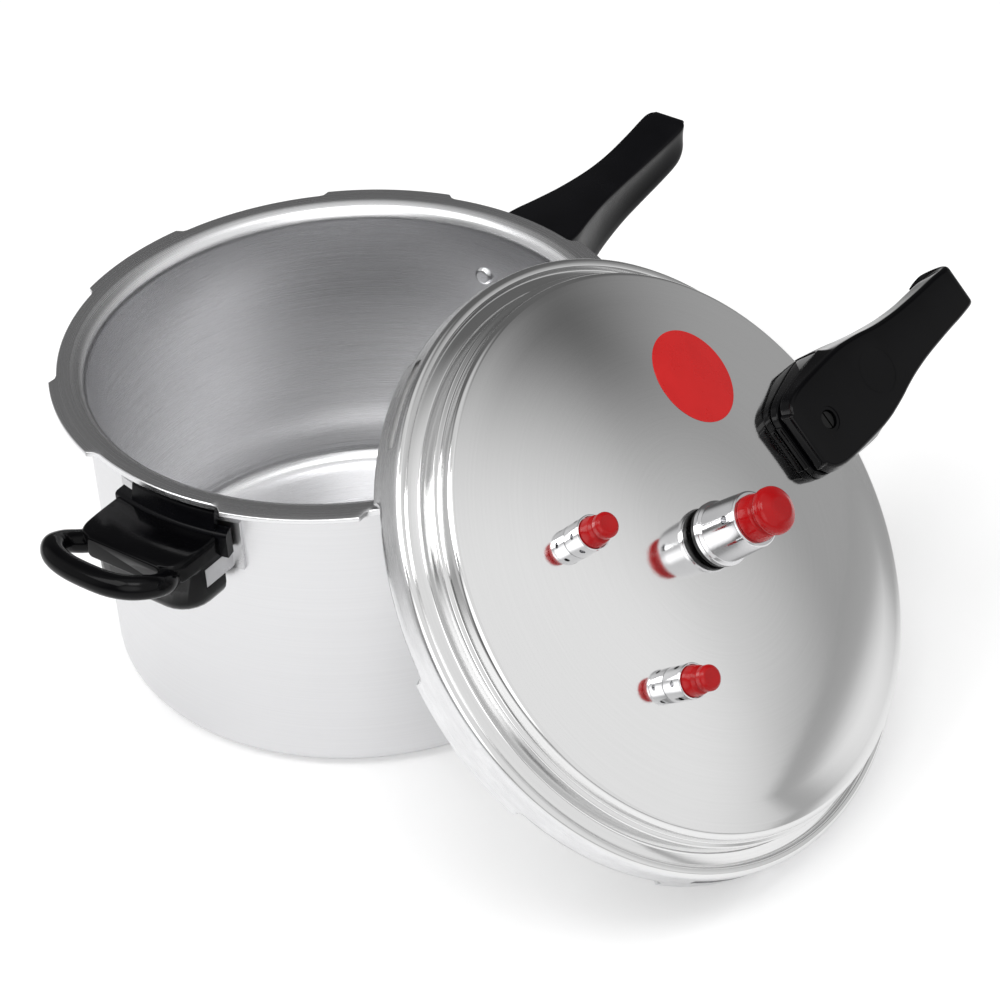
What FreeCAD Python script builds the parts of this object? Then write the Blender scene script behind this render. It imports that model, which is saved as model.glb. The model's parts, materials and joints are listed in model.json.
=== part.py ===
import FreeCAD, Part
import math
import os

import Sketcher

# Bayonet pressure canner: an aluminium pot with two bakelite handles and its lid taken off.
# Millimetres, +Z up. The origin is the centre of the pot's base, on the floor.
# The lid's pieces are drawn in the lid's own frame: Z is the lid's axis, Z = 0 is the plane of
# its locking lugs, and X runs along the lid handle. stand_lid() then places that frame.

Vector = FreeCAD.Vector
Rotation = FreeCAD.Rotation
Placement = FreeCAD.Placement
UP = Vector(0, 0, 1)

SIZES = {
    # Pot
    "pot_height": 181.5,
    "pot_bore": 140.0,
    "pot_wall": 3.0,
    "pot_floor": 4.0,
    "floor_round": 12.0,
    "floor_ring": 95.0,
    "floor_ring_rise": 0.8,
    "foot_width": 10.0,
    "foot_rise": 1.5,
    "base_round": 9.0,
    "flange_thick": 3.4,
    "flange_width": 12.5,
    "mouth_round": 10.0,
    "neck_round": 7.0,
    "lug_reach": 4.5,
    "lug_count": 6.0,
    "pot_lug_span": 27.5,
    "seat_gap": 0.05,
    # Rivets and screws
    "rivet_radius": 3.0,
    "rivet_head": 5.4,
    "rivet_dome": 2.2,
    "screw_radius": 2.5,
    "screw_head": 4.6,
    "screw_head_high": 3.0,
    "bore_clearance": 0.06,
    "plate_thick": 2.5,
    # Long handle of the pot
    "handle_angle": 50.0,
    "handle_start": 149.0,
    "handle_length": 159.0,
    "handle_root_half": 25.5,
    "handle_waist_half": 11.5,
    "handle_end_half": 14.0,
    "handle_top": 163.5,
    "handle_rise": 9.0,
    "handle_deep": 45.0,
    "handle_rivet_high": 144.0,
    "handle_rivet_spread": 5.5,
    "tongue_width": 18.0,
    "tongue_length": 58.0,
    # Helper handle
    "helper_angle": 232.0,
    "helper_half": 34.5,
    "helper_reach": 217.5,
    "helper_top": 160.0,
    "helper_bar": 13.0,
    "helper_deep": 36.0,
    "loop_half": 42.5,
    "loop_rise": 7.0,
    "ear_low": 135.5,
    "ear_tall": 11.0,
    "ear_reach": 163.0,
    "saddle_span": 21.0,
    "saddle_shelf_span": 34.0,
    "saddle_radius": 154.5,
    "saddle_rise": 12.5,
    # Lid shell
    "lid_thick": 2.5,
    "skirt_radius": 165.5,
    "skirt_drop": 4.0,
    "dome_edge": 143.0,
    "dome_edge_high": 38.4,
    "dome_rise": 18.5,
    "disc_radius": 150.0,
    "step_width": 2.7,
    "step_high": 28.0,
    "shoulder_high": 16.8,
    "bead_high": 17.0,
    "lid_lug_span": 30.0,
    "lug_overlap": 3.3,
    "lug_top": 2.4,
    "window_span": 19.0,
    "window_low": 5.5,
    "window_tall": 5.0,
    "gasket_inner": 147.5,
    # Lid handle
    "grip_start": 88.5,
    "grip_length": 170.5,
    "grip_half": 27.0,
    "grip_end_half": 15.5,
    "grip_top": 62.5,
    "grip_rise": 7.5,
    "grip_taper": 6.0,
    "shoe_top": 53.7,
    "grip_screw_at": 113.0,
    "logo_at": 163.0,
    "logo_radius": 13.3,
    # Warning disc
    "sticker_radius": 26.8,
    "sticker_thick": 0.25,
    "sticker_reach": 90.8,
    "sticker_angle": 45.4,
    # Vent tube and pressure-regulator weight
    "tube_radius": 4.5,
    "tube_bore": 1.8,
    "tube_high": 22.0,
    "weight_radius": 17.2,
    "weight_rim_high": 6.5,
    "weight_top_radius": 14.6,
    "weight_high": 32.0,
    "collar_radius": 12.4,
    "knob_radius": 12.5,
    "knob_high": 52.0,
    "vent_hole": 2.0,
    # Spring relief valves
    "valve_reach": 83.0,
    "valve_left_angle": 146.0,
    "valve_right_angle": -151.5,
    "valve_radius": 9.2,
    "valve_high": 14.0,
    "valve_bore": 5.6,
    "valve_stem": 1.6,
    "button_radius": 6.6,
    "button_high": 28.4,
    "button_collar": 8.0,
    # How the lid stands on its rim beside the pot
    "lid_azimuth": -35.5,
    "lid_elevation": 40.5,
    "lid_shift": 32.5,
    "floor_gap": 0.1,
}

doc = FreeCAD.newDocument("PressureCanner")
sheet = doc.addObject("Spreadsheet::Sheet", "Sizes")
for row, (alias, number) in enumerate(SIZES.items(), start=1):
    sheet.set(f"A{row}", alias)
    sheet.set(f"B{row}", repr(number))
    sheet.setAlias(f"B{row}", alias)
doc.recompute()


class Size:
    """A number together with the spreadsheet formula that gives it."""

    def __init__(self, value, formula):
        self.value = value
        self.formula = formula

    def joined(self, other, sign, value):
        return Size(value, f"({self.formula} {sign} {size(other).formula})")

    def __add__(self, other):
        return self.joined(other, "+", self.value + size(other).value)

    def __sub__(self, other):
        return self.joined(other, "-", self.value - size(other).value)

    def __mul__(self, other):
        return self.joined(other, "*", self.value * size(other).value)

    def __truediv__(self, other):
        return self.joined(other, "/", self.value / size(other).value)

    def __radd__(self, other):
        return size(other) + self

    def __rsub__(self, other):
        return size(other) - self

    def __rmul__(self, other):
        return size(other) * self

    def __neg__(self):
        return size(0) - self


def size(number):
    """A plain number as a Size."""
    if isinstance(number, Size):
        return number
    return Size(float(number), repr(float(number)))


def cell(alias):
    """One driving dimension of the spreadsheet."""
    return Size(SIZES[alias], f"Sizes.{alias}")


class Cells:
    """Every driving dimension as an attribute."""

    def __getattr__(self, alias):
        return cell(alias)


S = Cells()

# ---------------------------------------------------------------- sketches


def new_body(name, place=None):
    """An empty body whose label is its file name."""
    body = doc.addObject("PartDesign::Body", name)
    body.Label = name
    if place is not None:
        body.Placement = place
    return body


def new_sketch(body, plane="XZ_Plane", lift=0, turn=0):
    """A sketch on an origin plane, lifted off it and turned about the plane's normal.

    On the XZ plane a sketch's turn is about the body's Z axis instead.
    """
    sketch = body.newObject("Sketcher::SketchObject", f"{body.Name}_sketch")
    support = [item for item in body.Origin.OriginFeatures if item.Role == plane][0]
    sketch.AttachmentSupport = [(support, "")]
    sketch.MapMode = "FlatFace"
    axis = Vector(0, 0, 1) if plane == "XY_Plane" else Vector(0, 1, 0)
    sketch.AttachmentOffset = Placement(Vector(0, 0, size(lift).value), Rotation(axis, size(turn).value))
    if size(lift).value:
        sketch.setExpression(".AttachmentOffset.Base.z", size(lift).formula)
    if size(turn).value:
        sketch.setExpression(".AttachmentOffset.Rotation.Angle", size(turn).formula)
    return sketch


def constrain(sketch, kind, *items, by=None):
    """Add one constraint, bound to the spreadsheet when it carries a size."""
    if by is None:
        sketch.addConstraint(Sketcher.Constraint(kind, *items))
        return
    index = sketch.addConstraint(Sketcher.Constraint(kind, *items, size(by).value))
    sketch.setExpression(f"Constraints[{index}]", size(by).formula)


def pin(sketch, item, end, across, up):
    """Hold one point at a place measured from the sketch's origin."""
    if isinstance(across, Size) or across:
        constrain(sketch, "DistanceX", -1, 1, item, end, by=across)
    else:
        constrain(sketch, "PointOnObject", item, end, -2)
    if isinstance(up, Size) or up:
        constrain(sketch, "DistanceY", -1, 1, item, end, by=up)
    else:
        constrain(sketch, "PointOnObject", item, end, -1)


def arc_between(centre, radius, start, finish):
    """An arc and which of its ends lies at start: 1 or 2. It takes the shorter way."""
    first = math.atan2(start.y - centre.y, start.x - centre.x)
    last = math.atan2(finish.y - centre.y, finish.x - centre.x)
    swing = (last - first + math.pi) % (2 * math.pi) - math.pi
    circle = Part.Circle(centre, UP, radius)
    if swing > 0:
        return Part.ArcOfCircle(circle, first, first + swing), 1
    return Part.ArcOfCircle(circle, last, last - swing), 2


def outline(sketch, corners, domes=()):
    """A closed outline. A corner is (across, up) or (across, up, radius).

    domes lists the corners whose next edge is an arc centred on the sketch's vertical axis.
    """
    count = len(corners)
    points = [Vector(size(c[0]).value, size(c[1]).value, 0) for c in corners]
    rounds = [c[2] if len(c) > 2 else None for c in corners]
    entries = list(points)
    leaves = list(points)
    centres = [None] * count
    for i, radius in enumerate(rounds):
        if radius is None:
            continue
        back = (points[i - 1] - points[i]).normalize()
        ahead = (points[(i + 1) % count] - points[i]).normalize()
        half = back.getAngle(ahead) / 2
        reach = size(radius).value / math.tan(half)
        entries[i] = points[i] + back * reach
        leaves[i] = points[i] + ahead * reach
        centres[i] = points[i] + (back + ahead).normalize() * (size(radius).value / math.sin(half))
    edges = []
    for i in range(count):
        start, finish = leaves[i], entries[(i + 1) % count]
        if i in domes:
            height = (finish.Length**2 - start.Length**2) / (2 * (finish.y - start.y))
            centre = Vector(0, height, 0)
            arc, first = arc_between(centre, (start - centre).Length, start, finish)
            edge = sketch.addGeometry(arc)
            constrain(sketch, "PointOnObject", edge, 3, -2)
            edges.append((edge, first, 3 - first))
        else:
            edges.append((sketch.addGeometry(Part.LineSegment(start, finish)), 1, 2))
    for i, radius in enumerate(rounds):
        before, _, before_end = edges[i - 1]
        after, after_start, _ = edges[i]
        across, up = corners[i][0], corners[i][1]
        if radius is None:
            constrain(sketch, "Coincident", before, before_end, after, after_start)
            pin(sketch, after, after_start, across, up)
            continue
        mark = sketch.addGeometry(Part.Point(points[i]), True)
        pin(sketch, mark, 1, across, up)
        constrain(sketch, "PointOnObject", mark, 1, before)
        constrain(sketch, "PointOnObject", mark, 1, after)
        curve, first = arc_between(centres[i], size(radius).value, entries[i], leaves[i])
        arc = sketch.addGeometry(curve)
        constrain(sketch, "Tangent", before, before_end, arc, first)
        constrain(sketch, "Tangent", arc, 3 - first, after, after_start)
        constrain(sketch, "Radius", arc, by=radius)


def rectangle(sketch, left, right, bottom, top):
    """A rectangle given by its four sides."""
    outline(sketch, [(left, bottom), (right, bottom), (right, top), (left, top)])


def disc(sketch, across, up, radius):
    """A circle."""
    centre = Vector(size(across).value, size(up).value, 0)
    item = sketch.addGeometry(Part.Circle(centre, UP, size(radius).value))
    pin(sketch, item, 3, across, up)
    constrain(sketch, "Radius", item, by=radius)


def ring_sector(sketch, inner, outer, span):
    """A piece of a flat ring, centred on the sketch's X axis."""
    half = math.radians(size(span).value / 2)
    arcs = []
    for radius in (inner, outer):
        circle = Part.Circle(Vector(), UP, size(radius).value)
        arcs.append(sketch.addGeometry(Part.ArcOfCircle(circle, -half, half)))
        constrain(sketch, "Coincident", arcs[-1], 3, -1, 1)
        constrain(sketch, "Radius", arcs[-1], by=radius)
    sides = []
    for end, turn in ((1, -half), (2, half)):
        ray = Vector(math.cos(turn), math.sin(turn), 0)
        line = Part.LineSegment(ray * size(inner).value, ray * size(outer).value)
        sides.append(sketch.addGeometry(line))
        constrain(sketch, "Coincident", sides[-1], 1, arcs[0], end)
        constrain(sketch, "Coincident", sides[-1], 2, arcs[1], end)
    constrain(sketch, "PointOnObject", -1, 1, sides[0])
    constrain(sketch, "PointOnObject", -1, 1, sides[1])
    constrain(sketch, "Symmetric", arcs[0], 1, arcs[0], 2, -1)
    constrain(sketch, "Angle", sides[0], 1, sides[1], 1, by=span)


def hexagon(sketch, across_flats):
    """A regular hexagon about the sketch's origin, two of its corners on the X axis."""
    reach = across_flats / math.sqrt(3)
    tall = across_flats / 2
    corners = [(reach, 0), (reach / 2, tall), (-reach / 2, tall)]
    corners += [(-reach, 0), (-reach / 2, -tall), (reach / 2, -tall)]
    outline(sketch, corners)


# ---------------------------------------------------------------- features


def feature(body, kind, sketch):
    item = body.newObject(f"PartDesign::{kind}", f"{body.Name}_{kind.lower()}")
    item.Profile = sketch
    return item


def spin(body, sketch, kind="Revolution", axis="V_Axis", angle=360):
    """Turn a sketch about its own vertical or horizontal axis."""
    item = feature(body, kind, sketch)
    item.ReferenceAxis = (sketch, [axis])
    item.Angle = size(angle).value
    if isinstance(angle, Size):
        item.setExpression("Angle", angle.formula)
    return item


def swing_both(body, sketch, angle, kind="Revolution"):
    """Turn a sketch half of the angle to each side."""
    item = spin(body, sketch, kind, angle=angle)
    item.Midplane = True
    return item


def raise_by(body, sketch, length, kind="Pad", reverse=False, taper=None):
    """Pad or pocket a sketch along its normal."""
    item = feature(body, kind, sketch)
    item.Length = size(length).value
    item.setExpression("Length", size(length).formula)
    item.Reversed = reverse
    if taper is not None:
        item.setExpression("TaperAngle", size(taper).formula)
    return item


def cut_up(body, sketch, length):
    """Pocket from the sketch's plane along +Z of the body."""
    return raise_by(body, sketch, length, kind="Pocket", reverse=True)


def both_ways(body, sketch, length, kind="Pad"):
    """Pad or pocket a sketch by half of the length to each side."""
    item = raise_by(body, sketch, length, kind)
    item.SideType = "Symmetric"
    return item


def repeat_round(body, original, count, angle=360):
    """Copy a feature round the body's Z axis."""
    doc.recompute()
    item = body.newObject("PartDesign::PolarPattern", f"{body.Name}_pattern")
    item.Originals = [original]
    z_axis = [entry for entry in body.Origin.OriginFeatures if entry.Role == "Z_Axis"][0]
    item.Axis = (z_axis, [""])
    item.Angle = size(angle).value
    if isinstance(angle, Size):
        item.setExpression("Angle", angle.formula)
    item.Occurrences = count
    body.Tip = item
    return item


def turned_solid(name, corners, place=None, domes=()):
    """A body made by turning one outline about its Z axis."""
    body = new_body(name, place)
    sketch = new_sketch(body)
    outline(sketch, corners, domes)
    spin(body, sketch)
    return body


def bore(body, radius, depth, lift=0, across=0, up=0):
    """A round hole along the body's Z axis, from a lifted plane upwards."""
    sketch = new_sketch(body, "XY_Plane", lift)
    disc(sketch, across, up, radius)
    return cut_up(body, sketch, depth)


# ---------------------------------------------------------------- shared sizes

LUGS = int(SIZES["lug_count"])
LUG_PITCH = 360 / LUGS
wall_outside = S.pot_bore + S.pot_wall
rim_radius = wall_outside + S.flange_width
lug_radius = rim_radius + S.lug_reach
flange_under = S.pot_height - S.flange_thick
plate_inner = wall_outside + S.seat_gap
plate_outer = plate_inner + S.plate_thick
dome_top = S.dome_edge_high + S.dome_rise
dome_radius = (S.dome_edge * S.dome_edge + S.dome_rise * S.dome_rise) / (2 * S.dome_rise)
dome_centre = dome_top - dome_radius

# ---------------------------------------------------------------- pot


def rivet_holes(body, high, spread, tilt=0):
    """Two holes through the front of a wall, spread to both sides of the X axis."""
    for side in (-1, 1):
        sketch = new_sketch(body, "YZ_Plane", turn=tilt + side * spread)
        disc(sketch, 0, high, S.rivet_radius + S.bore_clearance)
        raise_by(body, sketch, 2 * S.pot_bore, kind="Pocket", reverse=True)


def pot_shell():
    """The drawn pot: foot, wall, flared neck and the flange with its locking lugs."""
    body = turned_solid(
        "pot_shell",
        [
            (0, 0),
            (wall_outside - S.foot_width, 0),
            (wall_outside - S.foot_width, S.foot_rise),
            (wall_outside, S.foot_rise, S.base_round),
            (wall_outside, flange_under, S.neck_round),
            (lug_radius, flange_under),
            (lug_radius, S.pot_height),
            (S.pot_bore, S.pot_height, S.mouth_round),
            (S.pot_bore, S.pot_floor, S.floor_round),
            (S.floor_ring, S.pot_floor),
            (S.floor_ring, S.pot_floor + S.floor_ring_rise),
            (0, S.pot_floor + S.floor_ring_rise),
        ],
    )
    gap = new_sketch(body, "XY_Plane", flange_under - 1, S.handle_angle)
    ring_sector(gap, rim_radius, lug_radius + 1, LUG_PITCH - S.pot_lug_span)
    repeat_round(body, cut_up(body, gap, S.flange_thick + 2), LUGS)
    rivet_holes(body, S.handle_rivet_high, S.handle_rivet_spread, S.handle_angle)
    rivet_holes(body, helper_rivet_high, S.handle_rivet_spread, S.helper_angle)


def wall_bracket(name, place, span, high, half_tall, rivets_high, tongue_low, tongue_length, tongue_width):
    """A bent steel bracket: a plate curved to the wall and a tongue that enters a grip."""
    body = new_body(name, place)
    plate = new_sketch(body, "XY_Plane", high - half_tall)
    ring_sector(plate, plate_inner, plate_outer, span)
    raise_by(body, plate, 2 * half_tall)
    tongue = new_sketch(body, "XY_Plane", tongue_low)
    rectangle(tongue, plate_inner + 1.5, plate_outer + tongue_length, -tongue_width / 2, tongue_width / 2)
    raise_by(body, tongue, S.plate_thick)
    rivet_holes(body, rivets_high, S.handle_rivet_spread)
    hole = new_sketch(body, "XY_Plane", tongue_low - 1)
    disc(hole, plate_outer + tongue_length - screw_inset, 0, S.screw_radius + S.bore_clearance)
    cut_up(body, hole, S.plate_thick + 2)
    return body


def wall_rivets(name, place, high):
    """Two rivets through the pot's wall and a bracket, a domed head at each end."""
    body = new_body(name, place)
    body.AllowCompound = True
    sketch = new_sketch(body, turn=-S.handle_rivet_spread)
    inner_seat = S.pot_bore - S.seat_gap - S.rivet_head * S.rivet_head / (2 * S.pot_bore)
    outer_seat = plate_outer + S.seat_gap
    outline(
        sketch,
        [
            (inner_seat - S.rivet_dome, high),
            (inner_seat - S.rivet_dome, high + S.rivet_head, S.rivet_dome * 0.9),
            (inner_seat, high + S.rivet_head),
            (inner_seat, high + S.rivet_radius),
            (outer_seat, high + S.rivet_radius),
            (outer_seat, high + S.rivet_head),
            (outer_seat + S.rivet_dome, high + S.rivet_head, S.rivet_dome * 0.9),
            (outer_seat + S.rivet_dome, high),
        ],
    )
    axis = sketch.addGeometry(
        Part.LineSegment(Vector(0, size(high).value, 0), Vector(100, size(high).value, 0)), True
    )
    pin(sketch, axis, 1, 0, high)
    pin(sketch, axis, 2, 100, high)
    item = feature(body, "Revolution", sketch)
    item.ReferenceAxis = (sketch, ["Axis0"])
    repeat_round(body, item, 2, 2 * S.handle_rivet_spread)


def upright_screw(name, place, across, seat, length):
    """A pan-head screw that stands on its head, under a grip."""
    body = new_body(name, place)
    shank = new_sketch(body, "XY_Plane", seat)
    disc(shank, across, 0, S.screw_radius)
    raise_by(body, shank, length)
    head = new_sketch(body, "XY_Plane", seat - S.screw_head_high)
    disc(head, across, 0, S.screw_head)
    raise_by(body, head, S.screw_head_high)
    slot = new_sketch(body, "XY_Plane", seat - S.screw_head_high)
    rectangle(slot, across - 0.5, across + 0.5, -S.screw_head, S.screw_head)
    cut_up(body, slot, S.screw_head_high / 2)


def frame_cut(body, corners, plane, left, right, bottom, top, width):
    """Keep only what lies inside an outline: cut away the frame round it."""
    sketch = new_sketch(body, plane)
    rectangle(sketch, left, right, bottom, top)
    outline(sketch, corners)
    both_ways(body, sketch, width, kind="Pocket")


screw_inset = size(8)
handle_place = Placement(Vector(), Rotation(UP, SIZES["handle_angle"]))
helper_place = Placement(Vector(), Rotation(UP, SIZES["helper_angle"]))
handle_end = S.handle_start + S.handle_length
handle_low = S.handle_top - S.handle_deep
tongue_low = S.handle_rivet_high - 10.5
helper_rivet_high = S.helper_top - 5
helper_tongue_low = S.helper_top - 19
helper_tongue_length = size(31)


def pot_handle():
    """The pot's long handle: bracket, rivets, grip and the screw that holds the grip."""
    wall_bracket(
        "pot_handle_bracket", handle_place, size(17), S.handle_rivet_high - 3, size(14), S.handle_rivet_high,
        tongue_low, S.tongue_length, S.tongue_width,
    )
    wall_rivets("pot_handle_rivets", handle_place, S.handle_rivet_high)
    body = new_body("pot_handle_grip", handle_place)
    side = new_sketch(body)
    waist = S.handle_start + S.handle_length * 0.62
    outline(
        side,
        [
            (S.handle_start, handle_low, 4),
            (S.handle_start, S.handle_top - 5),
            (S.handle_start + 12, S.handle_top - 5),
            (S.handle_start + 12, S.handle_top),
            (waist - 12, S.handle_top, 120),
            (handle_end, S.handle_top + S.handle_rise, 4),
            (handle_end - 2, S.handle_top - 11, 8),
            (handle_end - 20, S.handle_top - 18, 14),
            (waist, S.handle_top - 21, 60),
            (S.handle_start + 64, S.handle_top - 32, 50),
            (S.handle_start + 40, handle_low + 3, 30),
        ],
    )
    both_ways(body, side, 2 * S.handle_root_half + 2)
    plan = []
    for flip in (-1, 1):
        half = [
            (S.handle_start, flip * S.handle_root_half),
            (S.handle_start + 32, flip * (S.handle_root_half - 1), 30),
            (S.handle_start + 69, flip * (S.handle_waist_half + 3.5), 90),
            (waist + 14, flip * S.handle_waist_half, 120),
            (handle_end, flip * S.handle_end_half, 5),
        ]
        plan += half if flip < 0 else half[::-1]
    reach = S.handle_root_half + 10
    frame_cut(body, plan, "XY_Plane", S.handle_start - 10, handle_end + 10, -reach, reach, 3 * S.pot_height)
    socket = new_sketch(body, "XY_Plane", tongue_low - 0.15)
    half_socket = S.tongue_width / 2 + 0.15
    rectangle(socket, S.handle_start - 5, plate_outer + S.tongue_length + 0.3, -half_socket, half_socket)
    cut_up(body, socket, S.plate_thick + 0.3)
    screw_at = plate_outer + S.tongue_length - screw_inset
    seat = tongue_low - 6
    bore(body, S.screw_radius + S.bore_clearance, size(20), seat - 2, screw_at)
    bore(body, S.screw_head + 0.3, S.handle_deep, seat - S.handle_deep, screw_at)
    heads = new_sketch(body, "YZ_Plane", S.handle_start - 5)
    rectangle(heads, -18, 18, S.handle_rivet_high - 7, S.handle_rivet_high + 7)
    raise_by(body, heads, size(8), kind="Pocket", reverse=True)
    upright_screw("pot_handle_screw", handle_place, screw_at, seat - S.seat_gap, size(16))


def helper_handle():
    """The helper handle: bracket, rivets, saddle under the rim, looped grip and its screw."""
    bracket = wall_bracket(
        "helper_bracket", helper_place, size(32), helper_rivet_high - 6, size(15), helper_rivet_high,
        helper_tongue_low, helper_tongue_length, 2 * S.tongue_width,
    )
    ears = new_sketch(bracket, "XY_Plane", S.ear_low)
    for flip in (-1, 1):
        edges = [flip * (S.helper_half - 0.1), flip * (S.helper_half - 1.9)]
        rectangle(ears, plate_inner - 3, S.ear_reach, *sorted(edges, key=lambda edge: edge.value))
    raise_by(bracket, ears, S.ear_tall)
    wall = new_sketch(bracket, "XY_Plane", S.ear_low - 1)
    disc(wall, 0, 0, plate_inner)
    cut_up(bracket, wall, S.ear_tall + 2)
    wall_rivets("helper_rivets", helper_place, helper_rivet_high)
    saddle = new_body("helper_saddle", helper_place)
    rivet_clear = plate_outer + S.seat_gap + S.rivet_dome + 0.4
    saddle_low = S.helper_top - S.helper_bar + 0.3
    shelf = new_sketch(saddle)
    outline(
        shelf,
        [
            (rivet_clear, saddle_low),
            (S.saddle_radius, saddle_low),
            (S.saddle_radius, S.helper_top + 1.5, 2),
            (rivet_clear, S.helper_top + 3),
        ],
    )
    swing_both(saddle, shelf, S.saddle_shelf_span)
    crest = new_sketch(saddle)
    outline(
        crest,
        [
            (rivet_clear, S.helper_top - 1),
            (S.saddle_radius - 1, S.helper_top - 1),
            (S.saddle_radius - 3.5, S.helper_top + S.saddle_rise, 2),
            (rivet_clear - 2.5, S.helper_top + S.saddle_rise),
            (rivet_clear - 2.5, S.helper_top + 8),
            (rivet_clear, S.helper_top + 8),
        ],
    )
    swing_both(saddle, crest, S.saddle_span)
    body = new_body("helper_grip", helper_place)
    bar_low = S.helper_top - S.helper_bar
    inner = S.saddle_radius - 10
    plate_end = S.helper_reach - 32
    plate = new_sketch(body, "XY_Plane", bar_low)
    outline(
        plate,
        [
            (inner, -S.helper_half),
            (plate_end, -S.helper_half, 7),
            (plate_end, S.helper_half, 7),
            (inner, S.helper_half),
        ],
    )
    raise_by(body, plate, S.helper_bar)
    block = new_sketch(body, "XY_Plane", S.helper_top - S.helper_deep)
    block_end = plate_end - 6
    outline(
        block,
        [
            (inner - 10, -S.helper_half),
            (block_end, -S.helper_half, 16),
            (block_end, S.helper_half, 16),
            (inner - 10, S.helper_half),
        ],
    )
    raise_by(body, block, S.helper_deep - S.helper_bar + 1)
    near = S.helper_reach - 27.5
    loop = []
    for flip in (-1, 1):
        half = [
            (plate_end - 9, flip * (S.helper_half - 3)),
            (plate_end + 2, flip * S.loop_half, 9),
            (S.helper_reach - 9, flip * (S.loop_half - 2), 20),
            (S.helper_reach, flip * (S.loop_half - 24), 26),
        ]
        loop += half if flip < 0 else half[::-1]
    far = S.helper_reach - S.helper_bar
    for flip in (1, -1):
        half = [
            (near, flip * (S.loop_half - 10.5), 3),
            (far - 5, flip * (S.loop_half - 14), 8),
            (far, flip * (S.loop_half - 30), 14),
        ]
        loop += half if flip > 0 else half[::-1]
    bar = new_sketch(body, "XY_Plane", bar_low + S.loop_rise)
    outline(bar, loop)
    raise_by(body, bar, S.helper_bar)
    saddle_clear = new_sketch(body, "XY_Plane", bar_low)
    disc(saddle_clear, 0, 0, S.saddle_radius + 0.3)
    cut_up(body, saddle_clear, S.helper_bar + 5)
    wall_clear = new_sketch(body, "XY_Plane", S.helper_top - 2 * S.helper_deep)
    disc(wall_clear, 0, 0, rivet_clear)
    cut_up(body, wall_clear, 2 * S.helper_deep)
    slot = new_sketch(body, "XY_Plane", helper_tongue_low - 0.15)
    slot_end = plate_outer + helper_tongue_length + 0.3
    rectangle(slot, inner - 10, slot_end, -S.tongue_width - 0.15, S.tongue_width + 0.15)
    cut_up(body, slot, S.plate_thick + 0.3)
    recess = new_sketch(body, "XY_Plane", S.ear_low - 0.3)
    for flip in (-1, 1):
        edges = [flip * (S.helper_half + 5), flip * (S.helper_half - 2.2)]
        rectangle(recess, inner - 10, S.ear_reach + 0.3, *sorted(edges, key=lambda edge: edge.value))
    cut_up(body, recess, S.ear_tall + 0.6)
    screw_at = plate_outer + helper_tongue_length - screw_inset
    seat = helper_tongue_low - 6
    bore(body, S.screw_radius + S.bore_clearance, size(18), seat - 2, screw_at)
    bore(body, S.screw_head + 0.3, S.helper_deep, seat - S.helper_deep, screw_at)
    upright_screw("helper_screw", helper_place, screw_at, seat - S.seat_gap, size(15))


# ---------------------------------------------------------------- lid


def stand_lid():
    """The lid's frame: on the floor on its rim, its axis tilted, its lug plane past the pot's rim."""
    azimuth = math.radians(SIZES["lid_azimuth"])
    elevation = math.radians(SIZES["lid_elevation"])
    outward = Vector(math.cos(azimuth), math.sin(azimuth), 0)
    normal = outward * math.cos(elevation) + UP * math.sin(elevation)
    uphill = UP * math.cos(elevation) - outward * math.sin(elevation)
    sideways = uphill.cross(normal)
    touch = outward * lug_radius.value + UP * SIZES["pot_height"]
    lowest = SIZES["skirt_radius"] * math.cos(elevation) + lid_foot_drop() * math.sin(elevation)
    along = (touch.z - lowest - SIZES["floor_gap"]) / uphill.z
    centre = touch - uphill * along - sideways * SIZES["lid_shift"]
    matrix = FreeCAD.Matrix(
        sideways.x, uphill.x, normal.x, centre.x,
        sideways.y, uphill.y, normal.y, centre.y,
        sideways.z, uphill.z, normal.z, centre.z,
        0, 0, 0, 1,
    )
    return Placement(matrix)


def lid_foot_drop():
    """How far below the lug plane the rim's lowest point lies, for the standing height.

    The lowest point is either the middle of a lug's fold or a corner of the skirt beside it.
    """
    elevation = math.radians(SIZES["lid_elevation"])
    radius = SIZES["skirt_radius"]
    half_lug = math.radians(SIZES["lid_lug_span"] / 2)
    fold = SIZES["lid_thick"] - SIZES["lug_top"]
    loss = radius * (1 - math.cos(half_lug)) * math.cos(elevation)
    corner = SIZES["skirt_drop"] - loss / math.sin(elevation)
    return max(fold, corner)


lid_place = stand_lid()


def dome_level(reach, offset=0):
    """Height of the dome's outer face, plus an offset, at a distance from the lid's axis."""
    radius = dome_radius.value + size(offset).value
    value = dome_centre.value + math.sqrt(radius**2 - size(reach).value ** 2)
    body = f"(({dome_radius.formula} + {size(offset).formula}) ^ 2 - {size(reach).formula} ^ 2)"
    return Size(value, f"({dome_centre.formula} + sqrt({body}))")


def on_dome(reach, angle):
    """A frame on the dome's outer face with its Z along the dome's normal."""
    lean = math.degrees(math.asin(size(reach).value / dome_radius.value))
    turn = Rotation(UP, size(angle).value) * Rotation(Vector(0, 1, 0), lean)
    base = Vector(0, 0, dome_centre.value) + turn.multVec(UP * dome_radius.value)
    return lid_place * Placement(base, turn)


def cut_dome(body, offset, below):
    """Cut a body away below the dome's outer face, or above it."""
    sketch = new_sketch(body)
    reach = S.dome_edge + 60
    top = dome_top + size(offset)
    side = dome_level(S.dome_edge, offset)
    far = size(-80) if below else size(120)
    level = dome_level(S.dome_edge, offset)
    outline(
        sketch,
        [(0, top), (S.dome_edge, side), (reach, level), (reach, far), (0, far)],
        domes=(0,),
    )
    spin(body, sketch, "Groove")


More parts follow.
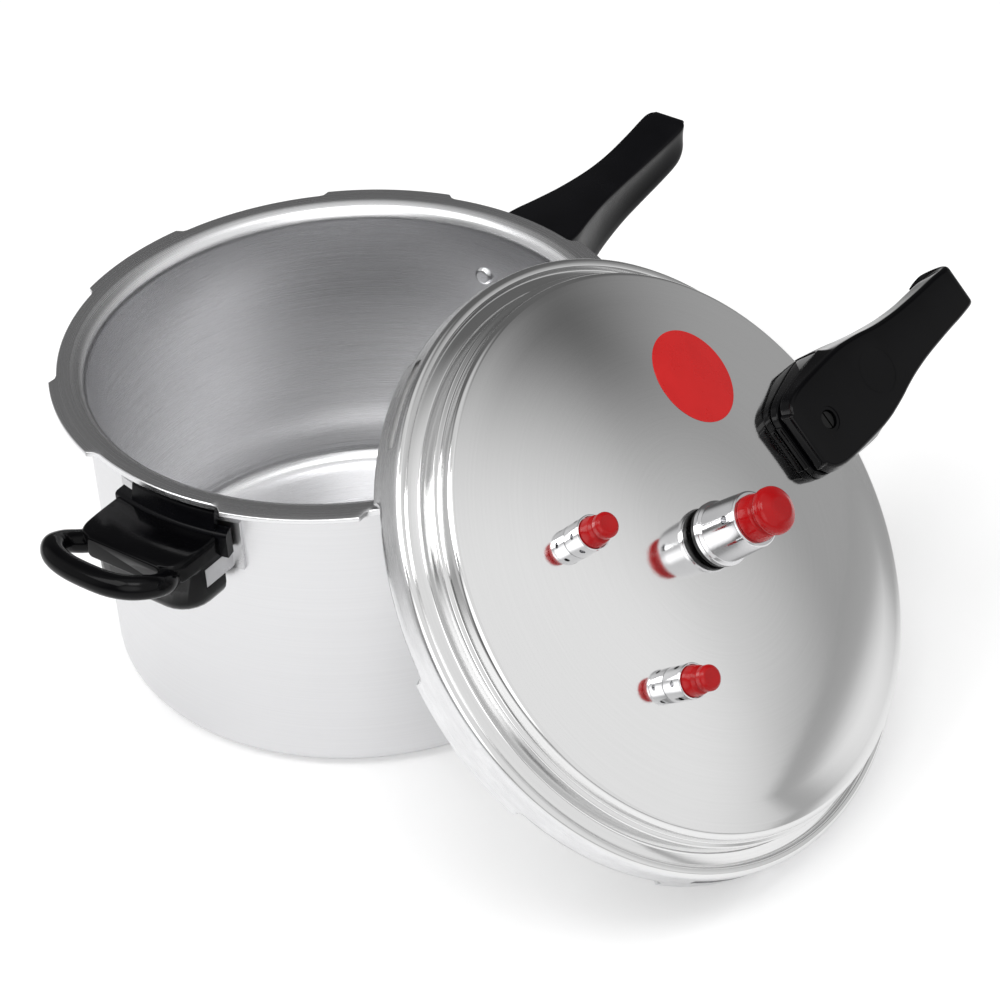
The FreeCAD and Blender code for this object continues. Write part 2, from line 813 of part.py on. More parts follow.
def lid_shell():
    """The pressed lid: dome, stepped rim, skirt, folded lugs, two gasket windows, three holes."""
    inner_step = S.disc_radius + S.step_width
    t = S.lid_thick
    blank = turned_solid(
        "lid_blank",
        [
            (0, dome_top),
            (S.dome_edge, S.dome_edge_high),
            (S.disc_radius, S.dome_edge_high - 1, 4),
            (S.disc_radius, S.step_high + 0.6, 0.8),
            (inner_step, S.step_high, 1),
            (inner_step, S.shoulder_high, 1.2),
            (inner_step + 6.5, S.shoulder_high - 2.2, 1),
            (inner_step + 8, S.bead_high, 0.8),
            (S.skirt_radius, S.bead_high, 3),
            (S.skirt_radius, -S.skirt_drop),
            (S.skirt_radius - t, -S.skirt_drop),
            (S.skirt_radius - t, S.bead_high - t - 0.6, 1.2),
            (inner_step + 6.5, S.shoulder_high - 2.4 - t, 1),
            (inner_step - t, S.shoulder_high - t, 1.5),
            (inner_step - t, S.step_high - t + 0.2, 0.8),
            (S.disc_radius - t, S.step_high - t + 0.8, 0.8),
            (S.disc_radius - t, S.dome_edge_high - 1 - t, 2),
            (S.dome_edge, S.dome_edge_high - t),
            (0, dome_top - t),
        ],
        domes=(0, 17),
    )
    first_lug = size(LUG_PITCH / 2)
    opening = new_sketch(blank, "XY_Plane", -S.skirt_drop - 1, first_lug)
    ring_sector(opening, S.skirt_radius - t - 1, S.skirt_radius + 1, S.lid_lug_span)
    repeat_round(blank, cut_up(blank, opening, S.skirt_drop + 1 + S.lug_top), LUGS)
    lug = new_sketch(blank, "XY_Plane", S.lug_top - t, first_lug)
    ring_sector(lug, lug_radius - S.lug_overlap, S.skirt_radius, S.lid_lug_span)
    repeat_round(blank, raise_by(blank, lug, t + 0.2), LUGS)
    for angle in (115, 240):
        window = new_sketch(blank, "XY_Plane", S.window_low, angle)
        ring_sector(window, S.skirt_radius - t - 1, S.skirt_radius + 1, S.window_span)
        cut_up(blank, window, S.window_tall)
    tools = []
    spots = [(0, 0, S.tube_radius)]
    spots += [(S.valve_reach, angle, valve_thread) for angle in (S.valve_left_angle, S.valve_right_angle)]
    spots += [(at, 0, S.rivet_radius) for at in bracket_rivets]
    for number, (reach, angle, radius) in enumerate(spots):
        drill = doc.addObject("Part::Cylinder", f"lid_drill_{number}")
        drill.setExpression("Radius", (radius + S.bore_clearance).formula)
        drill.Height = 40
        frame = on_dome(reach, angle) if number < 3 else lid_place * Placement(
            Vector(size(reach).value, 0, dome_level(reach).value), Rotation()
        )
        drill.Placement = lid_place.inverse() * frame * Placement(Vector(0, 0, -20), Rotation())
        tools.append(drill)
    drills = doc.addObject("Part::MultiFuse", "lid_drills")
    drills.Shapes = tools
    shell = doc.addObject("Part::Cut", "lid_shell")
    shell.Label = "lid_shell"
    shell.Base = blank
    shell.Tool = drills
    shell.Placement = lid_place


def gasket():
    """The rubber sealing ring under the lid's shoulder, with its inner lip."""
    low = S.lug_top + S.flange_thick + 0.1
    inner_step = S.disc_radius + S.step_width
    outside = S.skirt_radius - S.lid_thick - 0.3
    turned_solid(
        "gasket",
        [
            (S.gasket_inner, low, 0.8),
            (outside, low, 1),
            (outside, S.shoulder_high - 2.7 - S.lid_thick, 1),
            (inner_step + 6.5, S.shoulder_high - 2.7 - S.lid_thick, 1),
            (inner_step - 1.5, S.shoulder_high - S.lid_thick - 0.9, 0.8),
            (inner_step - 2, low + 4, 0.8),
            (S.gasket_inner, low + 4, 0.8),
        ],
        lid_place,
    )


bracket_start = S.grip_start + 5.5
bracket_end = S.dome_edge + 2
bracket_rivets = (S.grip_start + 12, S.dome_edge - 6)
bracket_half = size(12)
boss_radius = size(5)
boss_top = S.shoe_top + 3
valve_thread = size(4.5)


def lid_handle():
    """The lid's handle: riveted bracket, shoe, grip with its hanging hook, and the grip's screw."""
    bracket = new_body("lid_handle_bracket", lid_place)
    plate = new_sketch(bracket, "XY_Plane", 30)
    rectangle(plate, bracket_start, bracket_end, -bracket_half, bracket_half)
    raise_by(bracket, plate, size(40))
    cut_dome(bracket, S.seat_gap, True)
    cut_dome(bracket, S.seat_gap + S.plate_thick, False)
    boss = new_sketch(bracket, "XY_Plane", dome_level(S.grip_screw_at) + 1.5)
    disc(boss, S.grip_screw_at, 0, boss_radius)
    raise_by(bracket, boss, boss_top - dome_level(S.grip_screw_at) - 1.5)
    bore(bracket, S.screw_radius + S.bore_clearance, size(30), dome_level(S.grip_screw_at) + 2, S.grip_screw_at)
    for at in bracket_rivets:
        bore(bracket, S.rivet_radius + S.bore_clearance, size(40), size(30), at)

    rivets = new_body("lid_handle_rivets", lid_place)
    rivets.AllowCompound = True
    for at in bracket_rivets:
        under = dome_level(at + S.rivet_head, -S.lid_thick) - 0.4
        over = dome_level(at - S.rivet_head, S.plate_thick) + 0.2
        for low, tall, radius in (
            (under - 0.1, over - under + 0.2, S.rivet_radius),
            (under - S.rivet_dome, S.rivet_dome, S.rivet_head),
            (over, S.rivet_dome, S.rivet_head),
        ):
            sketch = new_sketch(rivets, "XY_Plane", low)
            disc(sketch, at, 0, radius)
            raise_by(rivets, sketch, tall)

    plan = []
    for flip in (-1, 1):
        half = [
            (S.grip_start - 2.5, flip * (S.grip_half - 3), 8),
            (S.grip_start + 34, flip * S.grip_half, 60),
            (S.grip_start + 62, flip * (S.grip_half - 1), 40),
            (S.grip_start + 98, flip * (S.grip_end_half + 3.5), 80),
            (S.grip_start + 132, flip * (S.grip_end_half - 0.5), 80),
            (grip_end, flip * S.grip_end_half, 5),
        ]
        plan += half if flip < 0 else half[::-1]

    shoe = new_body("lid_handle_shoe", lid_place)
    base = new_sketch(shoe, "XY_Plane", 34)
    outline(base, plan)
    raise_by(shoe, base, S.shoe_top - 34)
    cut_dome(shoe, 0.3, True)
    far = new_sketch(shoe, "XY_Plane", 20)
    rectangle(far, S.dome_edge + 5, grip_end + 10, -2 * S.grip_half, 2 * S.grip_half)
    cut_up(shoe, far, size(60))
    hollow = new_sketch(shoe, "XY_Plane", 20)
    rectangle(hollow, bracket_start - 0.4, bracket_end + 0.5, -bracket_half - 0.4, bracket_half + 0.4)
    cut_up(shoe, hollow, size(60))

    grip = new_body("lid_handle_grip", lid_place)
    stock = new_sketch(grip, "XY_Plane", 18)
    outline(stock, plan)
    raise_by(grip, stock, size(60), taper=-S.grip_taper)
    low = S.shoe_top + 0.3
    far_top = S.grip_top + S.grip_rise
    side = [
        (S.grip_start - 1.5, low),
        (S.grip_start + 5, S.grip_top, 2.5),
        (grip_end, far_top, 3),
        (grip_end + 0.5, far_top - 24, 4),
        (grip_end - 6, far_top - 28, 2.5),
        (grip_end - 9.5, far_top - 25, 1.5),
        (grip_end - 6, far_top - 21, 2),
        (grip_end - 8, far_top - 16, 3),
        (grip_end - 40, far_top - 19, 40),
        (S.grip_start + 98, far_top - 26, 30),
        (S.grip_start + 80, far_top - 40, 14),
        (S.disc_radius + 6, far_top - 48, 3),
        (S.disc_radius + 5, S.dome_edge_high - 4, 3),
        (S.dome_edge + 5.5, low),
    ]
    frame_cut(grip, side, "XZ_Plane", S.grip_start - 30, grip_end + 30, 0, 110, 6 * S.grip_half)
    bore(grip, boss_radius + 0.2, boss_top + 0.3 - low + 1, low - 1, S.grip_screw_at)
    bore(grip, S.screw_radius + S.bore_clearance, size(40), low, S.grip_screw_at)
    bore(grip, S.screw_head + 0.7, size(40), S.grip_top - 2.4, S.grip_screw_at)
    heads = new_sketch(grip, "XY_Plane", low - 1)
    for at in bracket_rivets:
        disc(heads, at, 0, S.rivet_head + 0.5)
    cut_up(grip, heads, size(4))

    screw = new_body("lid_handle_screw", lid_place)
    seat = S.grip_top - 2.4 + S.seat_gap
    shank = new_sketch(screw, "XY_Plane", seat - 12)
    disc(shank, S.grip_screw_at, 0, S.screw_radius)
    raise_by(screw, shank, size(12.5))
    head = new_sketch(screw, "XY_Plane", seat)
    disc(head, S.grip_screw_at, 0, S.screw_head)
    raise_by(screw, head, size(2))
    slot = new_sketch(screw, "XY_Plane", seat + 1)
    rectangle(slot, S.grip_screw_at - 0.5, S.grip_screw_at + 0.5, -S.screw_head, S.screw_head)
    cut_up(screw, slot, size(3))


grip_end = S.grip_start + S.grip_length


def sticker():
    """A round plain warning disc bonded to the dome: a thin cap of the same sphere."""
    lean = Rotation(Vector(0, 1, 0), math.degrees(math.asin(SIZES["sticker_reach"] / dome_radius.value)))
    turn = Rotation(UP, SIZES["sticker_angle"]) * lean
    place = lid_place * Placement(Vector(0, 0, dome_centre.value), turn)
    inner = dome_radius + S.seat_gap
    outer = inner + S.sticker_thick
    rim = S.sticker_radius

    def level(radius):
        value = math.sqrt(radius.value**2 - rim.value**2)
        return Size(value, f"sqrt({radius.formula} ^ 2 - {rim.formula} ^ 2)")

    turned_solid(
        "sticker_disc",
        [(0, inner), (rim, level(inner)), (rim, level(outer)), (0, outer)],
        place,
        domes=(0, 2),
    )


def vent_and_weight():
    """The vent tube with its nut, washer and screen, and the weight that rides on it."""
    crown = lid_place * Placement(Vector(0, 0, dome_top.value), Rotation())
    flange = size(1.2)
    inside = -S.lid_thick
    tube = turned_solid(
        "vent_tube",
        [
            (S.tube_bore, inside - 9),
            (S.tube_radius, inside - 9),
            (S.tube_radius, 0.1),
            (S.tube_radius + 3, 0.1),
            (S.tube_radius + 3, flange),
            (S.tube_radius, flange),
            (S.tube_radius, S.tube_high - 5),
            (S.tube_bore + 0.7, S.tube_high),
            (S.tube_bore, S.tube_high),
        ],
        crown,
    )
    tube.Label = "vent_tube"
    turned_solid(
        "vent_washer",
        [
            (S.tube_radius + 0.1, inside - 1.9),
            (S.tube_radius + 5, inside - 1.9),
            (S.tube_radius + 5, inside - 0.4),
            (S.tube_radius + 0.1, inside - 0.4),
        ],
        crown,
    )
    hex_nut("vent_nut", crown, inside - 6.5, 4.5, S.tube_radius + 0.05, size(16))
    screen = turned_solid(
        "vent_screen",
        [
            (S.tube_radius + 0.1, inside - 8.6),
            (S.tube_radius + 3, inside - 8.6),
            (S.tube_radius + 3, inside - 14),
            (0, inside - 14),
            (0, inside - 13),
            (S.tube_radius + 2, inside - 13),
            (S.tube_radius + 2, inside - 9.6),
            (S.tube_radius + 0.1, inside - 9.6),
        ],
        crown,
    )
    drain = bore(screen, size(0.8), size(3), inside - 15, S.tube_radius - 0.5)
    repeat_round(screen, drain, 8)

    gap = size(1.6)
    core_radius = size(8)
    core_low = S.tube_high - 7
    core_high = S.weight_high - 4
    turned_solid(
        "weight_needle",
        [
            (0, S.tube_high - 2),
            (S.tube_bore - 0.2, S.tube_high + 0.1),
            (S.tube_radius + 0.6, S.tube_high + 0.1),
            (S.tube_radius + 0.6, core_low),
            (core_radius, core_low),
            (core_radius, core_high),
            (0, core_high),
        ],
        crown,
    )
    turned_solid(
        "weight_base_ring",
        [
            (S.tube_radius + 4, gap),
            (S.weight_radius - 0.9, gap),
            (S.weight_radius - 0.9, gap + 2.5),
            (S.tube_radius + 4, gap + 2.5),
        ],
        crown,
    )
    shell = turned_solid(
        "weight_body",
        [
            (S.tube_radius + 5, gap + 2.6),
            (S.weight_radius, gap + 2.6, 0.6),
            (S.weight_radius, gap + S.weight_rim_high, 0.8),
            (S.weight_radius - 1.6, gap + S.weight_rim_high + 0.6),
            (S.weight_top_radius, S.weight_high, 0.8),
            (S.collar_radius - 4, S.weight_high),
            (S.collar_radius - 4, core_high + 0.1),
            (core_radius + 0.1, core_high + 0.1),
            (core_radius + 0.1, S.tube_high - 9),
            (S.tube_radius + 5, S.tube_high - 12),
        ],
        crown,
    )
    hole = new_sketch(shell, "YZ_Plane")
    disc(hole, 0, S.weight_high - 7, S.vent_hole)
    repeat_round(shell, raise_by(shell, hole, S.weight_radius + 5, kind="Pocket", reverse=True), 3)
    knob_low = S.weight_high + 0.1
    turned_solid(
        "weight_knob",
        [
            (0, core_high + 0.4),
            (S.collar_radius - 4.1, core_high + 0.4),
            (S.collar_radius - 4.1, knob_low),
            (S.collar_radius, knob_low, 0.6),
            (S.collar_radius - 1.6, knob_low + 7, 1.2),
            (S.knob_radius - 3.6, knob_low + 8.5, 1),
            (S.knob_radius - 3, S.knob_high - 10, 1),
            (S.knob_radius, S.knob_high - 8.5, 2.5),
            (S.knob_radius - 0.4, S.knob_high - 2.5, 4),
            (S.knob_radius - 6, S.knob_high, 8),
            (0, S.knob_high),
        ],
        crown,
    )


def hex_nut(name, place, low, tall, radius, flats):
    """A hexagonal nut."""
    body = new_body(name, place)
    sketch = new_sketch(body, "XY_Plane", low)
    hexagon(sketch, flats)
    disc(sketch, 0, 0, radius)
    raise_by(body, sketch, tall)


def relief_valve(side, angle):
    """A spring relief valve on the dome: vented body, nut, washer, stem, spring and red button."""
    place = on_dome(S.valve_reach, angle)
    inside = -S.lid_thick
    seat_high = size(1.5)
    guide_high = S.valve_high - 4.2
    recess = S.button_collar + 0.3
    neck = S.valve_stem + 0.1
    shell = turned_solid(
        f"valve_{side}_body",
        [
            (S.valve_stem + 0.6, inside - 7.5),
            (valve_thread, inside - 7.5),
            (valve_thread, 0.5),
            (S.valve_radius, 0.5, 0.4),
            (S.valve_radius, S.valve_high - 0.5),
            (S.valve_radius - 0.4, S.valve_high),
            (recess, S.valve_high),
            (recess, guide_high + 1.2),
            (S.valve_stem + 0.4, guide_high + 1.2),
            (S.valve_stem + 0.4, guide_high),
            (S.valve_bore, guide_high),
            (S.valve_bore, seat_high),
            (S.valve_stem + 0.6, seat_high),
        ],
        place,
    )
    hole = new_sketch(shell, "YZ_Plane")
    disc(hole, 0, S.valve_high * 0.54, S.vent_hole * 0.75)
    repeat_round(shell, raise_by(shell, hole, S.valve_radius + 2, kind="Pocket", reverse=True), 6)
    turned_solid(
        f"valve_{side}_washer",
        [
            (valve_thread + 0.1, inside - 2.1),
            (valve_thread + 4, inside - 2.1),
            (valve_thread + 4, inside - 0.5),
            (valve_thread + 0.1, inside - 0.5),
        ],
        place,
    )
    hex_nut(f"valve_{side}_nut", place, inside - 6.2, 4, valve_thread + 0.05, size(14))
    poppet_low = seat_high + 0.1
    collar_low = S.valve_high - 2.7
    turned_solid(
        f"valve_{side}_stem",
        [
            (0, poppet_low),
            (S.valve_bore - 1.4, poppet_low),
            (S.valve_bore - 1.4, poppet_low + 1.6),
            (S.valve_stem, poppet_low + 1.6),
            (S.valve_stem, S.button_high - 4),
            (0, S.button_high - 4),
        ],
        place,
    )
    cap_low = S.button_high - 5.5
    turned_solid(
        f"valve_{side}_button",
        [
            (neck, collar_low),
            (S.button_collar, collar_low),
            (S.button_collar, S.valve_high + 1),
            (S.button_collar - 0.9, S.valve_high + 6, 0.8),
            (S.button_radius - 1.3, S.valve_high + 7, 0.5),
            (S.button_radius - 1.3, cap_low - 0.6),
            (S.button_radius, cap_low + 0.2, 0.8),
            (S.button_radius, S.button_high - 0.6, 1.6),
            (S.button_radius - 2.5, S.button_high, 2),
            (0, S.button_high),
            (0, S.button_high - 3.9),
            (neck, S.button_high - 3.9),
        ],
        place,
    )
    coil_spring(f"valve_{side}_spring", place, poppet_low + 1.8, guide_high - 0.2)


def coil_spring(name, place, low, high):
    """A compression spring of round wire, set on the dome like its valve."""
    wire = 0.35
    coil = SIZES["valve_bore"] - 1.9
    tall = size(high).value - size(low).value - 2 * wire
    helix = Part.makeLongHelix(tall / 3, tall, coil)
    ring = Part.Wire([Part.makeCircle(wire, Vector(coil, 0, 0), Vector(0, 1, 0))])
    item = doc.addObject("Part::Feature", name)
    item.Label = name
    item.Shape = Part.Wire(helix).makePipeShell([ring], True, True)
    item.Placement = place * Placement(Vector(0, 0, size(low).value + wire), Rotation())


pot_shell()
pot_handle()
helper_handle()
lid_shell()
gasket()
lid_handle()
sticker()
vent_and_weight()
relief_valve("left", S.valve_left_angle)
relief_valve("right", S.valve_right_angle)
doc.recompute()

NOT_PARTS = ("lid_blank",)


def sub_parts():
    """Every finished object, by label."""
    found = [item for item in doc.Objects if item.TypeId == "PartDesign::Body"]
    found += [item for item in doc.Objects if item.TypeId in ("Part::Cut", "Part::Feature")]
    return [item for item in found if item.Label not in NOT_PARTS]


faults = [item.Label for item in doc.Objects if {"Invalid", "Error"} & set(item.State)]
for part in sub_parts():
    if part.Shape.isNull() or not part.Shape.isValid() or not part.Shape.Solids:
        faults.append(part.Label)
if faults:
    raise RuntimeError(f"These objects failed: {sorted(set(faults))}")
os.makedirs("parts", exist_ok=True)
for part in sub_parts():
    part.Shape.exportStep(os.path.join("parts", f"{part.Label}.step"))
    print(part.Label, len(part.Shape.Solids), round(part.Shape.Volume, 1))
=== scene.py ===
"""Looks of a bayonet pressure canner: aluminium pot, its lid taken off, black grips, red valve tops.

Shapes are worked out in millimetres in the frame of their sub-assembly, then put in place in metres.
"""

import json
import logging
import math
from dataclasses import dataclass, field
from enum import Enum, IntEnum
from typing import Callable, Iterable, Sequence

import bmesh
import bpy
from mathutils import Matrix, Vector


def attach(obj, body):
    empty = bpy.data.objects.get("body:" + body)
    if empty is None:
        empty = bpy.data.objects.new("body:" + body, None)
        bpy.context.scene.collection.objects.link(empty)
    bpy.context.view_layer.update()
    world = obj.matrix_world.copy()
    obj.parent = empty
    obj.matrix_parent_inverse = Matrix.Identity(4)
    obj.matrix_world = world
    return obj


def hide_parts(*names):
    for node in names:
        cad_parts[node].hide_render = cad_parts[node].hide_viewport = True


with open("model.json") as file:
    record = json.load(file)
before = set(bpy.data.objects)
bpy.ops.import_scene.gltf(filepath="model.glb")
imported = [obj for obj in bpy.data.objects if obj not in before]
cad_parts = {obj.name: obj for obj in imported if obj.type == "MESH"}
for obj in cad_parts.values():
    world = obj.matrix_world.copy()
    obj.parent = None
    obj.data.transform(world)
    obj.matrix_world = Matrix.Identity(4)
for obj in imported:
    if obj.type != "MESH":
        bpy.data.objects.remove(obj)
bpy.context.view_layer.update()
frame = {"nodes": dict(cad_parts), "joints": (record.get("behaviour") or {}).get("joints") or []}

LOG = logging.getLogger("canner")
MM = 0.001
FULL_TURN = 2 * math.pi

# where things stand round the pot's and the lid's axis, in degrees and millimetres
LUGS = 6
LONG_HANDLE_AT = 50.0
HELPER_AT = 232.0
VALVE_REACH = 83.0
VALVES_AT = {"left": 146.0, "right": -151.5}

# mesh work: steps round a shell, what counts as one point, the least rounding of a grip's edge
TURNED_STEPS = 360
MERGE = 1e-3
POLE = 1e-6
LEAST_ROUND = 0.4

# the map of turned shapes, the usual span of a noise, the value sockets of a Mix node
RING_UV = "turned"
RING_UV_SCALE = 0.01
RING_UV_SLOPE = 1.3
NOISE_SPAN = (0.3, 0.7)
COLOUR_A, COLOUR_B = 6, 7
NUMBER_A, NUMBER_B = 2, 3

Corner = tuple[float, ...]
Colour = tuple[float, float, float]
Span = tuple[float, float]
Value = bpy.types.NodeSocket | float


# ------------------------------------------------------------------ frames


def turned(azimuth: float) -> Matrix:
    """A frame turned about the pot's axis, azimuth in degrees."""
    return Matrix.Rotation(math.radians(azimuth), 4, "Z")


def lid_frame() -> Matrix:
    """The lid's own frame: Z its axis, X along its handle, origin in its lug plane.

    Returns:
        The frame in millimetres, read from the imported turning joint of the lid.
    """
    joint = next(j for j in frame["joints"] if j["name"] == "lid_turn")
    normal = Vector(joint["axis"]).normalized()
    along = Vector((0, 0, 1)).cross(normal).normalized()
    uphill = normal.cross(along)
    turn = Matrix((along, uphill, normal)).transposed().to_4x4()
    return Matrix.Translation(Vector(joint["pos_m"]) / MM) @ turn


# ------------------------------------------------------------------ outlines


def rounded(corners: Sequence[Corner], closed: bool = False, fine: int = 6) -> list[Vector]:
    """Round the corners of an outline.

    Args:
        corners: Each (across, up) or (across, up, radius).
        closed: Whether the last corner joins the first.
        fine: Steps along each rounded corner.

    Returns:
        The points of the rounded outline.
    """
    points = [Vector((c[0], c[1])) for c in corners]
    count = len(points)
    line: list[Vector] = []
    for i, corner in enumerate(corners):
        here = points[i]
        at_end = not closed and i in (0, count - 1)
        if len(corner) < 3 or at_end:
            line.append(here)
            continue
        back = (points[i - 1] - here).normalized()
        ahead = (points[(i + 1) % count] - here).normalized()
        half = back.angle(ahead) / 2
        reach = corner[2] / math.tan(half)
        centre = here + (back + ahead).normalized() * corner[2] / math.sin(half)
        first = here + back * reach - centre
        last = here + ahead * reach - centre
        swing = first.angle_signed(last)
        for step in range(fine + 1):
            line.append(centre + turned_by(first, -swing * step / fine))
    return line


def turned_by(arm: Vector, angle: float) -> Vector:
    """A flat vector turned anticlockwise by an angle in radians."""
    return Matrix.Rotation(angle, 2) @ arm


def eased(a: float, b: float, c: float, d: float, t: float) -> float:
    """The value on a smooth curve through four even steps (Catmull-Rom).

    Args:
        a: The step before the two that enclose the value.
        b: The step where t is 0.
        c: The step where t is 1.
        d: The step after them.
        t: The share of the way from b to c.

    Returns:
        The value at t.
    """
    square = 2 * a - 5 * b + 4 * c - d
    cube = 3 * b - a - 3 * c + d
    return 0.5 * (2 * b + (c - a) * t + square * t * t + cube * t**3)


def smooth_row(rows: Sequence[Sequence[float]], between: int) -> list[list[float]]:
    """Put smoothly interpolated rows between rows of numbers.

    Args:
        rows: The given rows, all of one length.
        between: How many steps lead from one row to the next.

    Returns:
        The given rows and those between them.
    """
    result: list[list[float]] = []
    for i in range(len(rows) - 1):
        p0, p1, p2, p3 = rows[max(i - 1, 0)], rows[i], rows[i + 1], rows[min(i + 2, len(rows) - 1)]
        for step in range(between):
            result.append([eased(*four, step / between) for four in zip(p0, p1, p2, p3)])
    result.append(list(rows[-1]))
    return result


# ------------------------------------------------------------------ mesh work


def spin_shape(points: Sequence[Vector], steps: int, closed: bool = False) -> bmesh.types.BMesh:
    """Turn an outline about the Z axis.

    Args:
        points: The outline, as (radius, height).
        steps: Faces round the full turn.
        closed: Whether the outline's last point joins its first.

    Returns:
        The turned shape, with its ring map.
    """
    bm = bmesh.new()
    verts = [bm.verts.new((p.x, 0, p.y)) for p in points]
    pairs = list(zip(verts, verts[1:])) + ([(verts[-1], verts[0])] if closed else [])
    edges = [bm.edges.new(pair) for pair in pairs]
    bmesh.ops.spin(
        bm, geom=verts + edges, cent=(0, 0, 0), axis=(0, 0, 1), angle=FULL_TURN, steps=steps, use_merge=True
    )
    bmesh.ops.remove_doubles(bm, verts=bm.verts, dist=MERGE)
    bmesh.ops.recalc_face_normals(bm, faces=bm.faces)
    ring_map(bm)
    return bm


def ring_map(bm: bmesh.types.BMesh) -> None:
    """Lay a map on a turned shape: U runs round it, V runs along its outline.

    Args:
        bm: The shape, turned about the Z axis.
    """
    layer = bm.loops.layers.uv.new(RING_UV)
    for face in bm.faces:
        centre = face.calc_center_median()
        middle = math.atan2(centre.y, centre.x)
        for loop in face.loops:
            at = loop.vert.co
            reach = math.hypot(at.x, at.y)
            angle = math.atan2(at.y, at.x) if reach > POLE else middle
            if angle - middle > math.pi:
                angle -= FULL_TURN
            if middle - angle > math.pi:
                angle += FULL_TURN
            along = (reach - RING_UV_SLOPE * at.z) * RING_UV_SCALE
            loop[layer].uv = (angle / FULL_TURN + 0.5, along)


def ring_share(angle: float, first: float, span: float, soft: float) -> float:
    """How much of a lug there is at an angle, with soft flanks.

    Args:
        angle: The angle in degrees.
        first: The middle of one lug, in degrees.
        span: A lug's angle in degrees.
        soft: The angle over which a flank rises, in degrees.

    Returns:
        1 on a lug and 0 in a gap.
    """
    pitch = 360 / LUGS
    away = abs((angle - first + pitch / 2) % pitch - pitch / 2)
    return min(max((span / 2 - away) / soft + 0.5, 0.0), 1.0)


def set_reach(vert: bmesh.types.BMVert, wanted: float) -> None:
    """Move a vertex straight to or from the Z axis, to a wanted distance from it."""
    share = wanted / math.hypot(vert.co.x, vert.co.y)
    vert.co.x, vert.co.y = vert.co.x * share, vert.co.y * share


def loft(rings: Sequence[Sequence[Vector]]) -> bmesh.types.BMesh:
    """Skin a row of closed rings that all have as many points, and close both ends.

    Args:
        rings: The rings in order.

    Returns:
        The closed skin.
    """
    bm = bmesh.new()
    loops = []
    for ring in rings:
        verts = [bm.verts.new(p) for p in ring]
        loops.append([bm.edges.new((verts[i - 1], verts[i])) for i in range(len(verts))])
    for one, other in zip(loops, loops[1:]):
        bmesh.ops.bridge_loops(bm, edges=one + other)
    for end in (loops[0], loops[-1]):
        bmesh.ops.contextual_create(bm, geom=end)
    bmesh.ops.recalc_face_normals(bm, faces=bm.faces)
    return bm


def merged(shapes: Iterable[bmesh.types.BMesh]) -> bmesh.types.BMesh:
    """One mesh that holds several shapes.

    Args:
        shapes: The shapes, which are used up.

    Returns:
        The mesh that holds them.
    """
    whole = bmesh.new()
    for shape in shapes:
        mesh = bpy.data.meshes.new("part")
        shape.to_mesh(mesh)
        shape.free()
        whole.from_mesh(mesh)
        bpy.data.meshes.remove(mesh)
    return whole


@dataclass(frozen=True)
class Section:
    """One cross-section of a moulded grip, from its top line down to its bottom line."""

    top: tuple[float, float]
    bottom: tuple[float, float]
    half: float
    half_low: float
    crown: float
    keel: float
    flute: float = 0.0

    def row(self) -> list[float]:
        """The section's numbers in one row, for interpolation."""
        return [*self.top, *self.bottom, self.half, self.half_low, self.crown, self.keel, self.flute]

    @staticmethod
    def from_row(row: Sequence[float]) -> "Section":
        """The section that a row of numbers describes."""
        return Section((row[0], row[1]), (row[2], row[3]), *row[4:])

    def shrunk(self, inset: float, shift: float) -> "Section":
        """The section drawn in on all sides and moved along the grip.

        Args:
            inset: How far every side moves in.
            shift: How far the section moves, square to its own height.

        Returns:
            The smaller section.
        """
        top, bottom = Vector(self.top), Vector(self.bottom)
        down = (bottom - top).normalized()
        ahead = Vector((-down.y, down.x)) * shift
        new_top = top + down * inset + ahead
        new_bottom = bottom - down * inset + ahead
        return Section(
            tuple(new_top), tuple(new_bottom), self.half - inset, self.half_low - inset,
            max(self.crown - inset, LEAST_ROUND), max(self.keel - inset, LEAST_ROUND), self.flute,
        )

    def ring(self) -> list[Vector]:
        """The section's closed ring: one half from top to bottom, and its mirror image back up.

        Returns:
            The ring's points, in the grip's frame.
        """
        top, bottom = Vector(self.top), Vector(self.bottom)
        tall = (bottom - top).length
        down = (bottom - top) / tall
        right: list[tuple[float, float]] = []
        corner = [math.pi / 2 * step / 4 for step in range(5)]
        for a in corner:
            right.append((self.half - self.crown * (1 - math.sin(a)), self.crown * (1 - math.cos(a))))
        for step in range(1, 8):
            t = step / 8
            depth = self.crown + (tall - self.crown - self.keel) * t
            width = self.half + (self.half_low - self.half) * t - self.flute * math.sin(math.pi * t)
            right.append((width, depth))
        for a in corner:
            across = self.half_low - self.keel * (1 - math.cos(a))
            right.append((across, tall - self.keel * (1 - math.sin(a))))
        side = right + [(-x, d) for x, d in reversed(right)]
        points = []
        for across, depth in side:
            at = top + down * depth
            points.append(Vector((at.x, across, at.y)))
        return points


def grip_shape(sections: Sequence[Section], between: int, near: float, far: float) -> bmesh.types.BMesh:
    """Loft a grip through its sections and round both of its ends.

    Args:
        sections: Sections in order along the grip.
        between: Interpolated steps from one section to the next.
        near: Rounding of the first end.
        far: Rounding of the last end.

    Returns:
        The grip's closed skin.
    """
    body = [Section.from_row(row) for row in smooth_row([s.row() for s in sections], between)]
    start = [body[0].shrunk(near * (1 - math.cos(a)), -near * math.sin(a)) for a in quarter(near)][::-1]
    finish = [body[-1].shrunk(far * (1 - math.cos(a)), far * math.sin(a)) for a in quarter(far)]
    return loft([s.ring() for s in start + body + finish])


def quarter(radius: float) -> list[float]:
    """The angles at which a rounded end of a grip gets its rings."""
    return [math.pi / 2 * step / 5 for step in range(1, 6)] if radius else []


